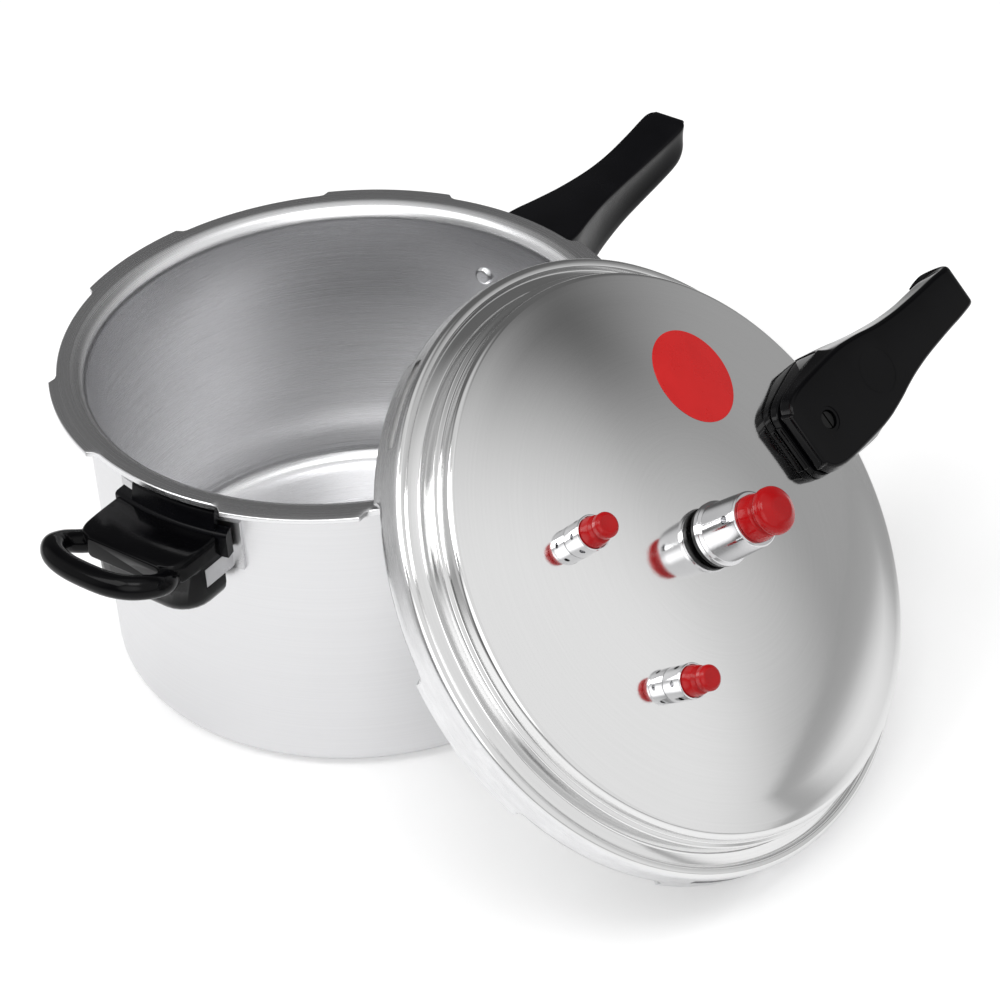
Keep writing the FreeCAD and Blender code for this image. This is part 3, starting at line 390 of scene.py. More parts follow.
def sweep(path: Sequence[Vector], wide: float, tall: float, sides: int = 24) -> bmesh.types.BMesh:
    """Sweep an upright oval along a level path.

    Args:
        path: Points of the middle line.
        wide: Half width of the oval, across the path.
        tall: Half height of the oval.
        sides: Points round the oval.

    Returns:
        The closed bar.
    """
    rings = []
    for i, here in enumerate(path):
        ahead = (path[min(i + 1, len(path) - 1)] - path[max(i - 1, 0)]).normalized()
        across = ahead.cross(Vector((0, 0, 1))).normalized()
        ring = []
        for step in range(sides):
            a = FULL_TURN * step / sides
            ring.append(here + across * wide * math.cos(a) + Vector((0, 0, tall * math.sin(a))))
        rings.append(ring)
    return loft(rings)


def punch(target: bpy.types.Object, cutter: bmesh.types.BMesh, place: Matrix) -> None:
    """Cut a closed shape out of a finished piece.

    Args:
        target: The piece, already in place.
        cutter: The shape to cut away, in millimetres.
        place: The cutter's frame in millimetres.
    """
    cutter.transform(Matrix.Scale(MM, 4) @ place)
    mesh = bpy.data.meshes.new("cutter")
    cutter.to_mesh(mesh)
    cutter.free()
    tool = bpy.data.objects.new("cutter", mesh)
    bpy.context.scene.collection.objects.link(tool)
    modifier = target.modifiers.new("cut", "BOOLEAN")
    modifier.operation = "DIFFERENCE"
    modifier.solver = "EXACT"
    modifier.use_self = True
    modifier.object = tool
    bpy.context.view_layer.update()
    graph = bpy.context.evaluated_depsgraph_get()
    cut = bpy.data.meshes.new_from_object(target.evaluated_get(graph))
    target.modifiers.clear()
    old = target.data
    name = old.name
    target.data = cut
    bpy.data.meshes.remove(old)
    cut.name = name
    bpy.data.objects.remove(tool)
    bpy.data.meshes.remove(mesh)


def brick(along: float, across: float, up: float) -> bmesh.types.BMesh:
    """A closed box about the origin.

    Args:
        along: Its size along X.
        across: Its size along Y.
        up: Its size along Z.

    Returns:
        The box.
    """
    bm = bmesh.new()
    bmesh.ops.create_cube(bm, size=1, matrix=Matrix.LocRotScale((0, 0, 0), None, (along, across, up)))
    return bm


def peg(radius: float, low: float, high: float, sides: int = 32) -> bmesh.types.BMesh:
    """A closed round peg along Z.

    Args:
        radius: Its radius.
        low: The height of its foot.
        high: The height of its top.
        sides: Faces round it.

    Returns:
        The peg.
    """
    bm = bmesh.new()
    bmesh.ops.create_cone(
        bm, cap_ends=True, segments=sides, radius1=radius, radius2=radius, depth=high - low,
        matrix=Matrix.Translation((0, 0, (high + low) / 2)),
    )
    return bm


# ------------------------------------------------------------------ finishes


class Tree:
    """Short hands for wiring one node tree."""

    def __init__(self, tree: bpy.types.NodeTree) -> None:
        """Start from an empty tree."""
        self.tree = tree
        tree.nodes.clear()

    def add(self, kind: str, **settings: object) -> bpy.types.Node:
        """Add a node.

        Args:
            kind: The node's type.
            **settings: Properties to set on it.

        Returns:
            The node.
        """
        node = self.tree.nodes.new(kind)
        for name, value in settings.items():
            setattr(node, name, value)
        return node

    def join(self, source: bpy.types.NodeSocket, target: bpy.types.NodeSocket) -> None:
        """Link two sockets."""
        self.tree.links.new(source, target)

    def feed(self, target: bpy.types.NodeSocket, value: Value) -> None:
        """Link a socket to another one, or set it to a plain number.

        Args:
            target: The socket that gets the value.
            value: A socket or a number.
        """
        if isinstance(value, bpy.types.NodeSocket):
            self.join(value, target)
        else:
            target.default_value = float(value)

    def math(self, how: str, first: Value, second: Value) -> bpy.types.NodeSocket:
        """A Math node over sockets or plain numbers.

        Args:
            how: The node's operation.
            first: A socket or a number.
            second: A socket or a number.

        Returns:
            The node's output.
        """
        node = self.add("ShaderNodeMath", operation=how)
        self.feed(node.inputs[0], first)
        self.feed(node.inputs[1], second)
        return node.outputs[0]

    def blend(self, share: Value, first: Value, second: Value) -> bpy.types.NodeSocket:
        """A Mix node over two numbers.

        Args:
            share: How much of the second one shows.
            first: A socket or a number.
            second: A socket or a number.

        Returns:
            The node's output.
        """
        node = self.add("ShaderNodeMix", data_type="FLOAT")
        self.feed(node.inputs[0], share)
        self.feed(node.inputs[NUMBER_A], first)
        self.feed(node.inputs[NUMBER_B], second)
        return node.outputs[0]

    def ranged(
        self, value: bpy.types.NodeSocket, given: Span, wanted: Span, soft: bool = False
    ) -> bpy.types.NodeSocket:
        """A Map Range node.

        Args:
            value: The socket to map.
            given: The two values that it runs between.
            wanted: What those two become.
            soft: Whether it eases in and out.

        Returns:
            The node's output.
        """
        node = self.add("ShaderNodeMapRange", interpolation_type="SMOOTHSTEP" if soft else "LINEAR")
        self.join(value, node.inputs["Value"])
        for name, number in zip(("From Min", "From Max", "To Min", "To Max"), (*given, *wanted)):
            node.inputs[name].default_value = number
        return node.outputs[0]


def new_group(name: str, inputs: dict[str, str], outputs: Sequence[str]) -> bpy.types.NodeTree:
    """An empty shader group.

    Args:
        name: The group's name.
        inputs: The kind of each named input.
        outputs: The names of its outputs, which are all values.

    Returns:
        The group.
    """
    group = bpy.data.node_groups.new(name, "ShaderNodeTree")
    for socket, kind in inputs.items():
        group.interface.new_socket(name=socket, in_out="INPUT", socket_type=f"NodeSocket{kind}")
    for socket in outputs:
        group.interface.new_socket(name=socket, in_out="OUTPUT", socket_type="NodeSocketFloat")
    return group


def lathe_grain() -> bpy.types.NodeTree:
    """The shared group for the fine lines that a lathe or a polishing wheel leaves round a pot.

    Returns:
        The group, made once.
    """
    known = bpy.data.node_groups.get("lathe_grain")
    if known:
        return known
    inputs = {"Vector": "Vector", "Lines": "Float", "Along": "Float"}
    group = new_group("lathe_grain", inputs, ("Lines", "Bands"))
    t = Tree(group)
    given = t.add("NodeGroupInput")
    result = t.add("NodeGroupOutput")
    apart = t.add("ShaderNodeSeparateXYZ")
    t.join(given.outputs["Vector"], apart.inputs[0])
    for index, (density, detail) in enumerate(((1.0, 3.0), (0.08, 2.0))):
        vector = t.add("ShaderNodeCombineXYZ")
        t.join(t.math("MULTIPLY", apart.outputs["X"], given.outputs["Along"]), vector.inputs["X"])
        lines = t.math("MULTIPLY", given.outputs["Lines"], density)
        t.join(t.math("MULTIPLY", apart.outputs["Y"], lines), vector.inputs["Y"])
        noise = t.add("ShaderNodeTexNoise")
        noise.inputs["Scale"].default_value = 1.0
        noise.inputs["Detail"].default_value = detail
        noise.inputs["Roughness"].default_value = 0.65
        t.join(vector.outputs[0], noise.inputs["Vector"])
        t.join(noise.outputs["Fac"], result.inputs[index])
    return group


def fine_skin() -> bpy.types.NodeTree:
    """The shared group for a moulded or cast skin: a fine grain and a broad unevenness.

    Returns:
        The group, made once.
    """
    known = bpy.data.node_groups.get("fine_skin")
    if known:
        return known
    group = new_group("fine_skin", {"Vector": "Vector", "Scale": "Float"}, ("Grain", "Broad"))
    t = Tree(group)
    given = t.add("NodeGroupInput")
    result = t.add("NodeGroupOutput")
    for index, ratio in enumerate((1.0, 0.06)):
        noise = t.add("ShaderNodeTexNoise")
        noise.inputs["Detail"].default_value = 4.0
        t.join(given.outputs["Vector"], noise.inputs["Vector"])
        t.join(t.math("MULTIPLY", given.outputs["Scale"], ratio), noise.inputs["Scale"])
        t.join(noise.outputs["Fac"], result.inputs[index])
    return group


@dataclass(frozen=True)
class Pattern:
    """Where a finish takes its changes over the surface from."""

    gloss: bpy.types.NodeSocket
    shade: bpy.types.NodeSocket
    height: bpy.types.NodeSocket
    relief: float


@dataclass(frozen=True)
class Surface:
    """A finish: a tone and a gloss that vary a little, and a fine relief."""

    name: str
    tone: Colour = (0.80, 0.80, 0.81)
    roughness: float = 0.3
    unevenness: float = 0.04
    tint: float = 0.15
    depth: float = 0.05

    def pattern(self, t: Tree, shader: bpy.types.Node) -> Pattern:
        """Set the shader's plain values and add the nodes of the pattern."""
        raise NotImplementedError

    def shade(self, change: float) -> tuple[float, ...]:
        """The tone made lighter or darker by a share, with its alpha."""
        return (*(min(c * (1 + change), 1) for c in self.tone), 1)

    def material(self) -> bpy.types.Material:
        """Build the finish as a material.

        Returns:
            The material, made once.
        """
        known = bpy.data.materials.get(self.name)
        if known:
            return known
        mat = bpy.data.materials.new(self.name)
        mat.use_nodes = True
        t = Tree(mat.node_tree)
        shader = t.add("ShaderNodeBsdfPrincipled")
        t.join(shader.outputs[0], t.add("ShaderNodeOutputMaterial").inputs["Surface"])
        pattern = self.pattern(t, shader)
        gloss = (self.roughness - self.unevenness, self.roughness + self.unevenness)
        t.join(t.ranged(pattern.gloss, NOISE_SPAN, gloss), shader.inputs["Roughness"])
        ramp = t.add("ShaderNodeMix", data_type="RGBA")
        t.join(t.ranged(pattern.shade, NOISE_SPAN, (0.0, 1.0)), ramp.inputs[0])
        ramp.inputs[COLOUR_A].default_value = self.shade(-self.tint)
        ramp.inputs[COLOUR_B].default_value = self.shade(self.tint)
        t.join(ramp.outputs[2], shader.inputs["Base Color"])
        bump = t.add("ShaderNodeBump")
        bump.inputs["Strength"].default_value = self.depth
        bump.inputs["Distance"].default_value = pattern.relief
        t.join(pattern.height, bump.inputs["Height"])
        t.join(bump.outputs[0], shader.inputs["Normal"])
        return mat


@dataclass(frozen=True)
class TurnedMetal(Surface):
    """Metal that was spun, brushed or polished in circles round its axis."""

    unevenness: float = 0.06
    tint: float = 0.03
    depth: float = 0.06
    lines: float = 420.0
    along: float = 6.0
    anisotropy: float = 0.5

    def pattern(self, t: Tree, shader: bpy.types.Node) -> Pattern:
        """Fine lines round the axis.

        Args:
            t: The material's tree.
            shader: Its shader.

        Returns:
            The lines for gloss and relief, broader bands for the tone.
        """
        shader.inputs["Metallic"].default_value = 1.0
        shader.inputs["Anisotropic"].default_value = self.anisotropy
        if self.anisotropy:
            tangent = t.add("ShaderNodeTangent", direction_type="UV_MAP", uv_map=RING_UV)
            t.join(tangent.outputs[0], shader.inputs["Tangent"])
        grain = t.add("ShaderNodeGroup", node_tree=lathe_grain())
        grain.inputs["Lines"].default_value = self.lines
        grain.inputs["Along"].default_value = self.along
        t.join(t.add("ShaderNodeUVMap", uv_map=RING_UV).outputs[0], grain.inputs["Vector"])
        lines, bands = grain.outputs["Lines"], grain.outputs["Bands"]
        return Pattern(lines, bands, lines, 0.0004)


@dataclass(frozen=True)
class Skin(Surface):
    """A moulded, cast or plated surface with a fine grain."""

    metallic: float = 0.0
    specular: float = 0.5
    grain: float = 900.0

    def pattern(self, t: Tree, shader: bpy.types.Node) -> Pattern:
        """A grain that looks the same in all directions.

        Args:
            t: The material's tree.
            shader: Its shader.

        Returns:
            Broad patches for gloss and tone, the fine grain for relief.
        """
        shader.inputs["Metallic"].default_value = self.metallic
        shader.inputs["Specular IOR Level"].default_value = self.specular
        skin = t.add("ShaderNodeGroup", node_tree=fine_skin())
        skin.inputs["Scale"].default_value = self.grain
        t.join(t.add("ShaderNodeTexCoord").outputs["Object"], skin.inputs["Vector"])
        broad = skin.outputs["Broad"]
        return Pattern(broad, broad, skin.outputs["Grain"], 0.0003)


class Finish(Enum):
    """Every finish on the canner."""

    POT_INSIDE = TurnedMetal(
        "brushed_inside", roughness=0.27, unevenness=0.05, lines=900.0, tint=0.02, anisotropy=0.75, depth=0.08
    )
    POT_OUTSIDE = TurnedMetal(
        "satin_outside", (0.78, 0.78, 0.79), roughness=0.34, unevenness=0.03, lines=900.0, tint=0.015,
        anisotropy=0.4, depth=0.04
    )
    POT_FLANGE = TurnedMetal("turned_flange", roughness=0.24, lines=500.0, anisotropy=0.3)
    LID_DOME = TurnedMetal(
        "polished_dome", (0.84, 0.84, 0.84), roughness=0.07, unevenness=0.02, lines=900.0, tint=0.012,
        depth=0.012, anisotropy=0.0
    )
    LID_RIM = TurnedMetal(
        "polished_steps", (0.80, 0.80, 0.80), roughness=0.08, unevenness=0.03, depth=0.03, anisotropy=0.0
    )
    LID_SKIRT = TurnedMetal(
        "satin_skirt", roughness=0.24, lines=200.0, along=60.0, tint=0.05, depth=0.12, anisotropy=0.0
    )
    BAKELITE = Skin("black_bakelite", (0.002, 0.002, 0.0025), roughness=0.13, specular=0.13, depth=0.03)
    BAKELITE_DULL = Skin(
        "black_bakelite_dull", (0.003, 0.003, 0.004), roughness=0.25, specular=0.13, depth=0.06
    )
    RED = Skin("red_knob", (0.44, 0.004, 0.006), roughness=0.16, specular=0.28, depth=0.02, tint=0.08)
    FILM = Skin("red_film", (0.66, 0.010, 0.010), roughness=0.28, specular=0.35, depth=0.02, tint=0.05)
    CHROME = Skin(
        "bright_chrome", (0.72, 0.72, 0.73), roughness=0.05, unevenness=0.03, metallic=1.0, tint=0.03
    )
    # near-black foot ring of the weight: partly a dark base, partly painted shade of the gap under its chrome
    # body
    BLACK_RING_AND_GAP_SHADE = Skin("black_ring_and_gap_shade", (0.010, 0.010, 0.010), roughness=0.3, specular=0.3)
    DARK_STEEL = Skin("blackened_steel", (0.035, 0.035, 0.035), roughness=0.4, metallic=1.0, tint=0.08)
    STEEL = Skin("plated_steel", (0.62, 0.62, 0.63), roughness=0.3, metallic=1.0, tint=0.08)
    RIVET = Skin("pressed_rivet", (0.80, 0.80, 0.81), roughness=0.22, metallic=1.0, tint=0.05)
    RUBBER = Skin("pale_rubber", (0.50, 0.50, 0.49), roughness=0.55, depth=0.12)


# ------------------------------------------------------------------ pieces


@dataclass
class Assembly:
    """A group of pieces that share one frame."""

    place: Matrix

    def publish(
        self,
        shape: bmesh.types.BMesh,
        name: str,
        body: str,
        finishes: Sequence[Finish],
        stands_for: Sequence[str] = (),
        crease: float = 32.0,
        frame_in: Matrix | None = None,
        choose: Callable[[Vector], int] | None = None,
    ) -> bpy.types.Object:
        """Put a finished shape in place as a piece of the canner.

        Args:
            shape: The shape, in millimetres.
            name: The piece's name.
            body: The moving body that carries it.
            finishes: Its materials; the first is the usual one.
            stands_for: The nodes of the frame that it replaces.
            crease: Edges sharper than this many degrees stay crisp.
            frame_in: A frame inside the assembly's, in millimetres.
            choose: Gives the place in the row of finishes from a face's centre, before it is placed.

        Returns:
            The piece's object.
        """
        if choose:
            for face in shape.faces:
                face.material_index = choose(face.calc_center_median())
        shape.transform(Matrix.Scale(MM, 4) @ self.place @ (frame_in or Matrix()))
        mesh = bpy.data.meshes.new(name)
        for face in shape.faces:
            face.smooth = True
        shape.to_mesh(mesh)
        shape.free()
        mesh.set_sharp_from_angle(angle=math.radians(crease))
        for finish in finishes:
            mesh.materials.append(finish.value.material())
        piece = bpy.data.objects.new(name, mesh)
        bpy.context.scene.collection.objects.link(piece)
        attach(piece, body)
        if stands_for:
            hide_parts(*stands_for)
        LOG.info("%s: %d faces, rides on %s", name, len(mesh.polygons), body)
        return piece

    def drill(
        self, piece: bpy.types.Object, radius: float, deep: float, at: Corner, angles: Iterable[float]
    ) -> None:
        """Cut round holes that point at the assembly's axis.

        Args:
            piece: The piece, already in place.
            radius: The radius of each hole.
            deep: How far the cutter reaches each way along the hole.
            at: The cutter's middle, as distance from the axis and height.
            angles: Where the holes are, in degrees.
        """
        for angle in angles:
            hole = peg(radius, -deep, deep)
            hole.transform(Matrix.Rotation(math.pi / 2, 4, "Y"))
            spot = turned(angle) @ Matrix.Translation((at[0], 0, at[1]))
            punch(piece, hole, self.place @ spot)


class PotFace(IntEnum):
    """The finishes of the pot's shell, in their order."""

    INSIDE = 0
    OUTSIDE = 1
    FLANGE = 2


class LidFace(IntEnum):
    """The finishes of the lid's shell, in their order."""

    DOME = 0
    STEPS = 1
    SKIRT = 2


@dataclass
class Pot(Assembly):
    """The drawn pot with its flared neck and lugged flange."""

    bore: float = 140.0
    wall: float = 3.0
    height: float = 181.5
    floor: float = 4.0
    flange: float = 155.5
    lug: float = 160.0
    flange_thick: float = 3.4
    lug_span: float = 27.5
    lug_flank: float = 0.9
    first_lug: float = 20.0
    mouth_round: float = 10.0
    neck_round: float = 7.0

    def outline(self) -> list[Vector]:
        """The pot's outline, from the middle of its foot to the middle of its floor.

        Returns:
            Its points, as (radius, height).
        """
        outside = self.bore + self.wall
        under = self.height - self.flange_thick
        return rounded(
            [
                (0, 0),
                (outside - 11, 0),
                (outside - 10, 0.4, 0.4),
                (outside - 9.6, 1.5, 0.4),
                (outside, 1.6, 9),
                (outside, 60),
                (outside, 120),
                (outside, under, self.neck_round),
                (self.flange - 0.5, under),
                (self.lug, under, 0.8),
                (self.lug, self.height - 0.5, 0.8),
                (self.flange - 0.5, self.height),
                (self.bore + 11, self.height),
                (self.bore, self.height, self.mouth_round),
                (self.bore, 120),
                (self.bore, 60),
                (self.bore, self.floor, 12),
                (97, self.floor, 1.5),
                (94, self.floor + 0.8, 1.5),
                (60, self.floor + 0.8),
                (0, self.floor + 0.8),
            ],
            fine=8,
        )

    def shell(self) -> bmesh.types.BMesh:
        """The pot's shell with its lugs drawn out of the flange.

        Returns:
            The shell.
        """
        bm = spin_shape(self.outline(), TURNED_STEPS)
        for vert in bm.verts:
            reach = math.hypot(vert.co.x, vert.co.y)
            if reach > self.flange and vert.co.z > self.height - self.flange_thick - 1:
                angle = math.degrees(math.atan2(vert.co.y, vert.co.x))
                share = ring_share(angle, self.first_lug, self.lug_span, self.lug_flank)
                set_reach(vert, self.flange + (reach - self.flange) * share)
        return bm

    def finish_of(self, centre: Vector) -> PotFace:
        """Inside brushed, outside satin, flange turned.

        Args:
            centre: The centre of a face of the shell.

        Returns:
            The face's finish.
        """
        reach = math.hypot(centre.x, centre.y)
        on_rim = centre.z > self.height - 6
        if on_rim and reach > self.bore + 8:
            return PotFace.FLANGE
        inside = reach < self.bore + self.wall / 2 and centre.z > self.floor - 1.5
        return PotFace.INSIDE if inside or on_rim else PotFace.OUTSIDE

    def build(self) -> None:
        """Make the shell and dress it."""
        self.publish(
            self.shell(), "pot_shell_turned", "pot",
            (Finish.POT_INSIDE, Finish.POT_OUTSIDE, Finish.POT_FLANGE), ("pot_shell",), choose=self.finish_of,
        )


@dataclass
class LongHandle(Assembly):
    """The pot's long grip."""

    start: float = 149.0
    length: float = 159.0
    top: float = 163.5
    root_step: tuple[float, float, float] = (20, 80, 10)
    root_notch: tuple[float, float, float] = (18, 22, 10)

    def sections(self) -> list[Section]:
        """The grip's sections from its root to its fishtail end.

        Returns:
            The sections in order.
        """
        # along, rise of the top, depth, half width at the top and at the bottom, flute
        rows = [
            (0.0, 0, 45.0, 25.5, 22.5, 0.0),
            (14.0, 0, 44.5, 25.3, 22.0, 0.0),
            (32.0, 0, 43.0, 24.3, 20.5, 0.8),
            (50.0, 0, 39.5, 20.2, 17.5, 1.6),
            (69.0, 0, 35.0, 16.4, 14.4, 2.0),
            (92.0, 0.3, 30.5, 13.9, 12.4, 2.2),
            (112.0, 1.6, 28.0, 13.3, 12.2, 2.2),
            (132.0, 4.4, 26.5, 13.7, 12.8, 1.8),
            (146.0, 6.9, 25.0, 14.2, 13.4, 1.0),
            (self.length - 6.5, 8.3, 22.5, 14.0, 13.0, 0.6),
            (self.length - 3.2, 8.9, 19.0, 12.8, 11.8, 0.4),
            (self.length - 1.6, 9.1, 16.0, 11.0, 10.0, 0.2),
        ]
        made = []
        for along, rise, deep, half, low, flute in rows:
            x = self.start + along
            top = self.top + rise
            made.append(Section((x, top), (x, top - deep), half, low, 1.6, 4.5, flute))
        return made

    def build(self) -> None:
        """Make the grip, cut its root step and dress it."""
        grip = self.publish(
            grip_shape(self.sections(), 5, 0.8, 2.5), "long_grip", "pot", (Finish.BAKELITE_DULL,),
            ("pot_handle_grip",), crease=40,
        )
        high = self.top + 1.5
        for size, at in ((self.root_step, (2, 0)), (self.root_notch, (12, 16))):
            spot = Matrix.Translation((self.start + at[0], at[1], high))
            punch(grip, brick(*size), self.place @ spot)


@dataclass
class HelperHandle(Assembly):
    """The short looped grip with its saddle piece and rounded block."""

    saddle: float = 154.5
    reach: float = 217.5
    half: float = 34.5
    top: float = 160.0
    bar: float = 13.0
    deep: float = 40.0
    loop_half: float = 42.5
    loop_rise: float = 7.0
    loop_skew: float = 0.88
    inner: float = 148.3
    ear_start: float = 140.0
    ear_end: float = 163.3
    ear_low: float = 135.5
    ear_tall: float = 11.0
    ear_deep: float = 2.2

    def plate(self) -> bmesh.types.BMesh:
        """The flat top of the grip, from the saddle to the finger hole.

        Returns:
            The plate, its near end curved to the wall.
        """
        # along, and how much narrower than the grip
        rows = ((0.4, 0), (12, 0), (20, 0.3), (24, 1.0), (27, 2.6), (29, 5.0), (30.6, 9.5))
        low = self.top - self.bar
        made = []
        for along, less in rows:
            x = self.saddle + along
            half = self.half - less
            made.append(Section((x, self.top), (x, low), half, half, 3.0, 3.0))
        bm = grip_shape(made, 3, 0.3, 1.2)
        for vert in bm.verts:
            share = min(max((vert.co.x - self.saddle) / 30, 0), 1)
            sag = math.sqrt(self.saddle**2 - vert.co.y**2) - self.saddle
            vert.co.x += sag * (1 - share)
        return bm

    def loop(self) -> bmesh.types.BMesh:
        """The round bar about the finger hole, a little higher than the plate.

        Returns:
            The bar, its ends inside the plate.
        """
        middle = self.reach - self.bar / 2
        side = self.bar / 2 - self.loop_half
        half = [
            (self.saddle + 21, side + 9.5, -3.0),
            (self.saddle + 28, side + 5.0, -1.5),
            (middle - 20, side + 0.6, 2.0),
            (middle - 11.5, side + 1.4, 5.5),
            (middle - 4.2, side + 9.0, self.loop_rise),
            (middle - 0.8, side + 21.0, self.loop_rise),
            (middle, 0.0, self.loop_rise),
        ]
        rows = [list(p) for p in half] + [[x, -y * self.loop_skew, z] for x, y, z in reversed(half[:-1])]
        base = self.top - self.bar / 2
        path = [Vector((x, y, base + z)) for x, y, z in smooth_row(rows, 5)]
        return sweep(path, self.bar / 2, self.bar / 2)

    def block(self) -> bmesh.types.BMesh:
        """The rounded block under the plate that holds the bracket and the screw.

        Returns:
            The closed block.
        """
        rings = []
        foot = self.top - self.deep
        # height, and how far the sides are drawn in
        rows = (
            (self.top - 5, 0.0), (self.top - self.bar, 0.0), (foot + 10, 0.4), (foot + 6, 1.6),
            (foot + 3, 3.8), (foot + 1, 6.8), (foot, 11.0),
        )
        end = self.saddle + 24.5
        for z, inset in rows:
            side = self.half - inset * 0.8
            far = end - inset
            near = self.inner + 0.1
            corners = [(near, -side), (far, -side, 16), (far, side, 16), (near, side)]
            rings.append([Vector((p.x, p.y, z)) for p in rounded(corners, closed=True)])
        return loft(rings)

    def arc_piece(self, corners: Sequence[Corner], span: float, middle: float) -> bmesh.types.BMesh:
        """A piece of one outline, swung about the pot's axis.

        Args:
            corners: The outline, radius and height.
            span: Its whole angle in degrees.
            middle: Where its middle lies, in degrees from the grip's middle.

        Returns:
            The closed piece.
        """
        bm = bmesh.new()
        verts = [bm.verts.new((p.x, 0, p.y)) for p in rounded(corners, closed=True)]
        edges = [bm.edges.new((verts[i - 1], verts[i])) for i in range(len(verts))]
        turn = math.radians(span)
        first = Matrix.Rotation(math.radians(middle) - turn / 2, 3, "Z")
        bmesh.ops.rotate(bm, verts=bm.verts, cent=(0, 0, 0), matrix=first)
        bmesh.ops.spin(bm, geom=verts + edges, cent=(0, 0, 0), axis=(0, 0, 1), angle=turn, steps=28)
        bmesh.ops.holes_fill(bm, edges=[e for e in bm.edges if e.is_boundary])
        bmesh.ops.recalc_face_normals(bm, faces=bm.faces)
        return bm

    def saddle_piece(self) -> bmesh.types.BMesh:
        """The filler between wall and grip: a wide shelf and a narrower crest under the rim.

        Returns:
            Shelf and crest as one mesh.
        """
        inner = self.inner
        low, top, out = self.top - self.bar + 0.3, self.top, self.saddle
        shelf = [(inner, low), (out, low, 0.6), (out, top + 1.5, 2.5), (inner, top + 3)]
        crest = [
            (inner, top - 1), (out - 1, top - 1), (out - 1.6, top + 2.5, 2), (out - 3.5, top + 12.5, 2),
            (inner - 2.5, top + 12.5, 1), (inner - 2.5, top + 8), (inner, top + 8),
        ]
        return merged((self.arc_piece(shelf, 28, 0.6), self.arc_piece(crest, 20.6, 1.6)))

    def build(self) -> None:
        """Make the grip and the saddle piece, cut the bracket's side recesses and dress them."""
        grip = self.publish(
            merged((self.plate(), self.loop(), self.block())), "helper_loop_grip", "pot", (Finish.BAKELITE,),
            ("helper_grip",), crease=50,
        )
        thick = 4.0
        for side in (-1, 1):
            slot = brick(self.ear_end - self.ear_start, thick, self.ear_tall + 0.6)
            across = side * (self.half - self.ear_deep + thick / 2)
            at = ((self.ear_end + self.ear_start) / 2, across, self.ear_low + self.ear_tall / 2)
            punch(grip, slot, self.place @ Matrix.Translation(at))
        self.publish(
            self.saddle_piece(), "helper_saddle_curved", "pot", (Finish.BAKELITE_DULL,), ("helper_saddle",)
        )


